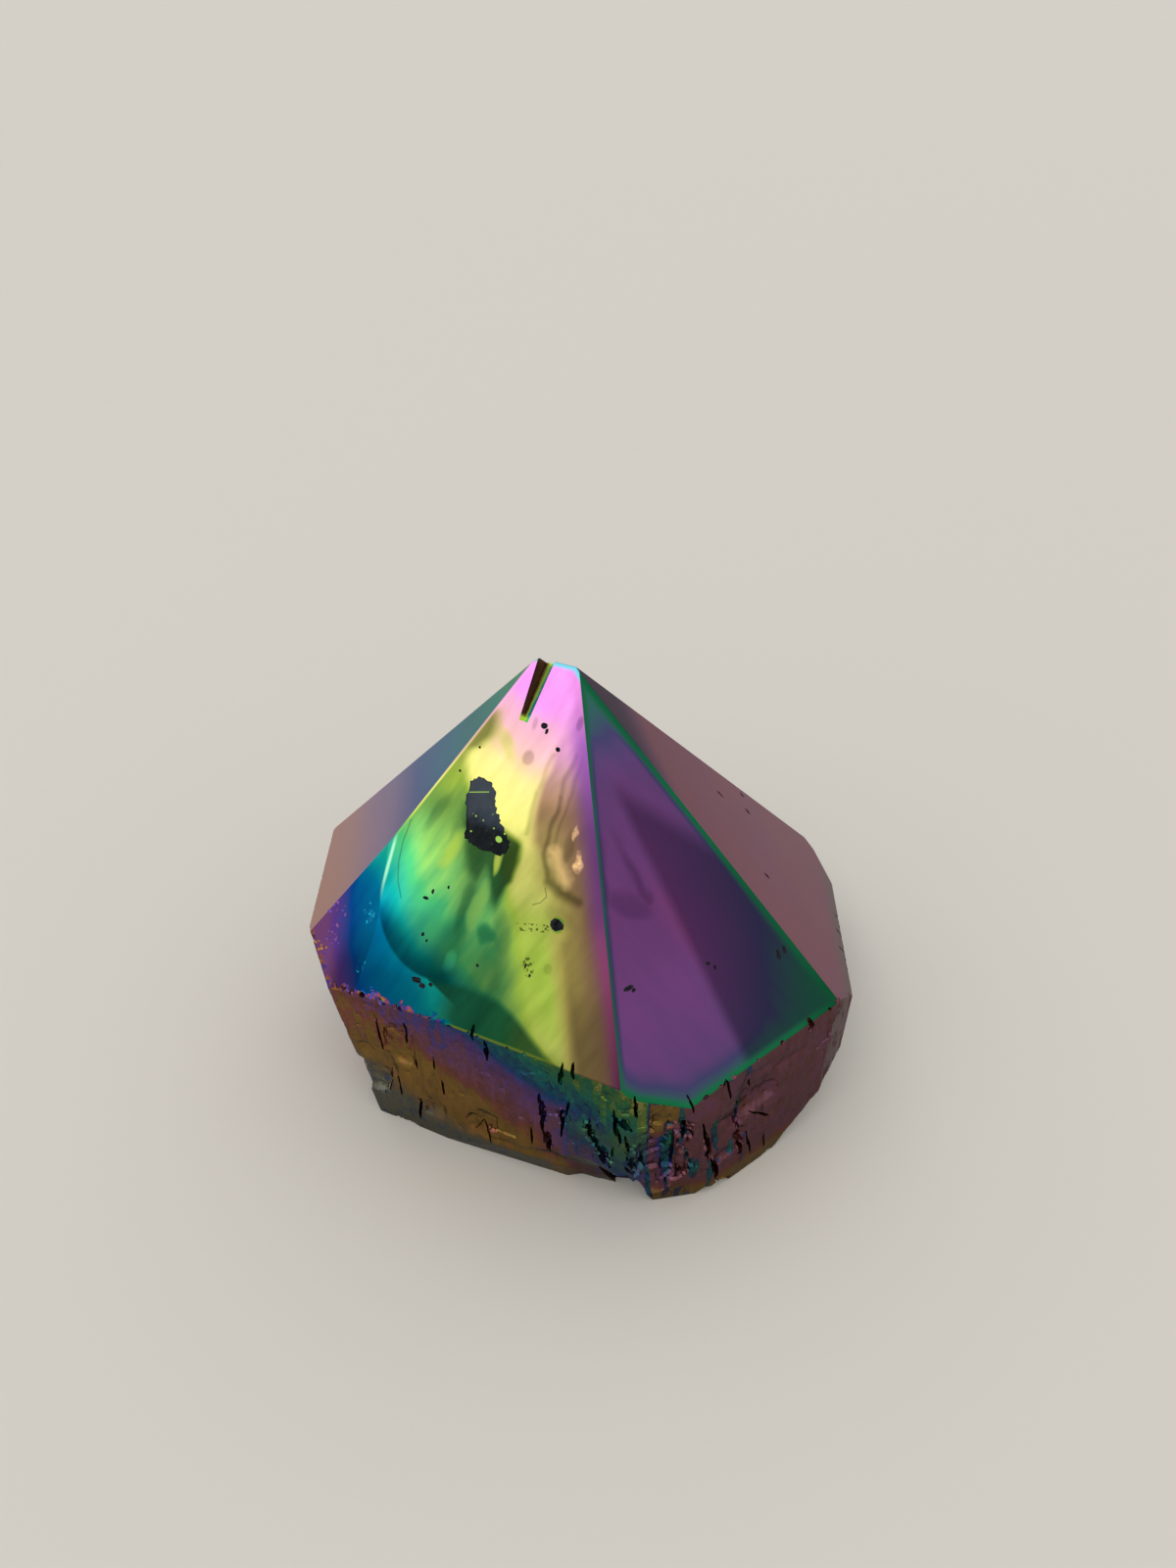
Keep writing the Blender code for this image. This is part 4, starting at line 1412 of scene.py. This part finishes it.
def flake_tool(material, chance):
    """Shallow plate with a ragged outline: the flake lost from the front left face."""
    face = POLISHED["front_left"]
    mesh = bmesh.new()
    corners = []
    for start, end in zip(FLAKE, FLAKE[1:] + FLAKE[:1]):
        for step in range(FLAKE_STEPS):
            share = step / FLAKE_STEPS
            across, down = (
                first + (last - first) * share + chance.uniform(-FLAKE_RAGGED, FLAKE_RAGGED)
                for first, last in zip(start, end)
            )
            corners.append(mesh.verts.new((face.place(across, down) - face.normal * FLAKE_DEPTH) * MM))
    floor = mesh.faces.new(corners)
    walls = bmesh.ops.extrude_face_region(mesh, geom=[floor])
    lifted = [item for item in walls["geom"] if isinstance(item, bmesh.types.BMVert)]
    bmesh.ops.translate(mesh, verts=lifted, vec=face.normal * MM)
    bmesh.ops.recalc_face_normals(mesh, faces=mesh.faces[:])
    return hold_mesh("flake_tool", mesh, [material])


def groove_tool(material):
    """Tapering four-sided bar with one edge down: the groove in the tip."""
    top = AXIS + GROOVE_TOP
    bottom = AXIS + GROOVE_BOTTOM
    run = (top - bottom).normalized()
    top = top + run * GROOVE_OVERRUN
    across = POLISHED["front_left"].normal.cross(run).normalized()
    out = run.cross(across)
    lean = Matrix.Rotation(math.radians(GROOVE_LEAN), 4, run)
    basis = lean @ columns(across, out, run).to_4x4()
    mesh = bmesh.new()
    bmesh.ops.create_cone(
        mesh, cap_ends=True, segments=4, radius1=GROOVE_WIDTHS[0] / 2 * MM,
        radius2=GROOVE_WIDTHS[1] / 2 * MM, depth=(top - bottom).length * MM,
    )
    mesh.transform(Matrix.Translation((top + bottom) / 2 * MM) @ basis)
    return hold_mesh("groove_tool", mesh, [material])


def shade(stone, materials):
    """Smooth shading on the raw skin between its sharp steps; the polished faces stay flat."""
    stone.data.shade_smooth()
    stone.data.set_sharp_from_angle(angle=math.radians(SMOOTH_UP_TO))
    raw_slot = list(materials).index("raw")
    for polygon in stone.data.polygons:
        polygon.use_smooth = polygon.material_index == raw_slot


# --- Operators ---


class QUARTZ_OT_stone(bpy.types.Operator):
    """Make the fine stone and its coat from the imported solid"""

    bl_idname = "quartz.stone"
    bl_label = "Quartz Stone"

    def execute(self, context):
        sizes = context.scene.quartz_sizes
        chance = random.Random(sizes.seed)
        materials = {name: make() for name, make in COATS.items()}
        dents = small_dents(chance)
        raw = materials["raw"]
        stone = fine_skin(raw, sizes.skin_step)
        weather(stone, sizes.grain_height)
        cut(stone, "INTERSECT", [ground_form(materials, sizes.edge_softness, dents)])
        cut(stone, "DIFFERENCE", foot_tools(raw, chance))
        cut(stone, "DIFFERENCE", slit_tools(raw, sizes.slit_depth, chance) + chip_tools(raw, chance))
        tools = [rough_pebble(kind, *shape, chance, materials[kind]) for kind, *shape in dents]
        cut(stone, "DIFFERENCE", tools)
        flake = flake_tool(materials["flake"], chance)
        cut(stone, "DIFFERENCE", [flake, groove_tool(materials["groove"])])
        shade(stone, materials)
        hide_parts(NODE)
        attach(stone, BODY)
        return {"FINISHED"}


def add_window(power):
    """Large soft square light that faces the stone."""
    light = bpy.data.lights.new("window", "AREA")
    light.shape = "RECTANGLE"
    light.size = light.size_y = WINDOW_SIZE
    light.energy = power
    item = bpy.data.objects.new("window", light)
    item.location = WINDOW_PLACE
    item.rotation_euler = (WINDOW_TARGET - WINDOW_PLACE).to_track_quat("-Z", "Y").to_euler()
    bpy.context.scene.collection.objects.link(item)


def add_camera(lens):
    data = bpy.data.cameras.new("camera")
    data.lens = lens
    data.clip_start = MM
    camera = bpy.data.objects.new("camera", data)
    camera.location = CAMERA_PLACE * MM
    camera.rotation_euler = (math.radians(CAMERA_PITCH), 0, 0)
    bpy.context.scene.collection.objects.link(camera)
    return camera


class QUARTZ_OT_stage(bpy.types.Operator):
    """Make the floor, the soft light and the camera"""

    bl_idname = "quartz.stage"
    bl_label = "Stage"

    def execute(self, context):
        studio = context.scene.quartz_studio
        mesh = bmesh.new()
        bmesh.ops.create_grid(mesh, x_segments=1, y_segments=1, size=FLOOR_SIZE)
        shader = Shader("floor")
        floor = hold_mesh("floor", mesh, [shader.finish((*studio.floor_colour, 1), 0.7, metallic=0)])
        world = bpy.data.worlds.new("studio")
        world.use_nodes = True
        background = world.node_tree.nodes["Background"]
        background.inputs["Color"].default_value = WORLD_COLOUR
        background.inputs["Strength"].default_value = studio.world_strength
        context.scene.world = world
        add_window(studio.window_power)
        context.scene.camera = add_camera(studio.lens)
        context.scene.view_settings.view_transform = "Standard"
        return {"FINISHED"}


class QUARTZ_PT_panel(bpy.types.Panel):
    """Sidebar panel with the stone, its sizes and colours, and the stage"""

    bl_label = "Aura Quartz"
    bl_idname = "QUARTZ_PT_panel"
    bl_space_type = "VIEW_3D"
    bl_region_type = "UI"
    bl_category = "Quartz"

    def draw(self, context):
        for settings, operator in (("quartz_sizes", "quartz.stone"), ("quartz_studio", "quartz.stage")):
            box = self.layout.box()
            group = getattr(context.scene, settings)
            for name in group.__annotations__:
                box.prop(group, name)
            box.operator(operator)
        box = self.layout.box()
        for name in FilmColours.__annotations__:
            box.prop(context.scene.quartz_film, name)


SETTINGS = {"quartz_film": FilmColours, "quartz_sizes": StoneSizes, "quartz_studio": StudioSettings}
CLASSES = (*SETTINGS.values(), QUARTZ_OT_stone, QUARTZ_OT_stage, QUARTZ_PT_panel)


def register():
    for item in CLASSES:
        bpy.utils.register_class(item)
    for name, group in SETTINGS.items():
        setattr(bpy.types.Scene, name, PointerProperty(type=group))


def unregister():
    for name in SETTINGS:
        delattr(bpy.types.Scene, name)
    for item in reversed(CLASSES):
        bpy.utils.unregister_class(item)


def main():
    register()
    bpy.ops.quartz.stone()
    bpy.ops.quartz.stage()


if __name__ == "__main__":
    main()
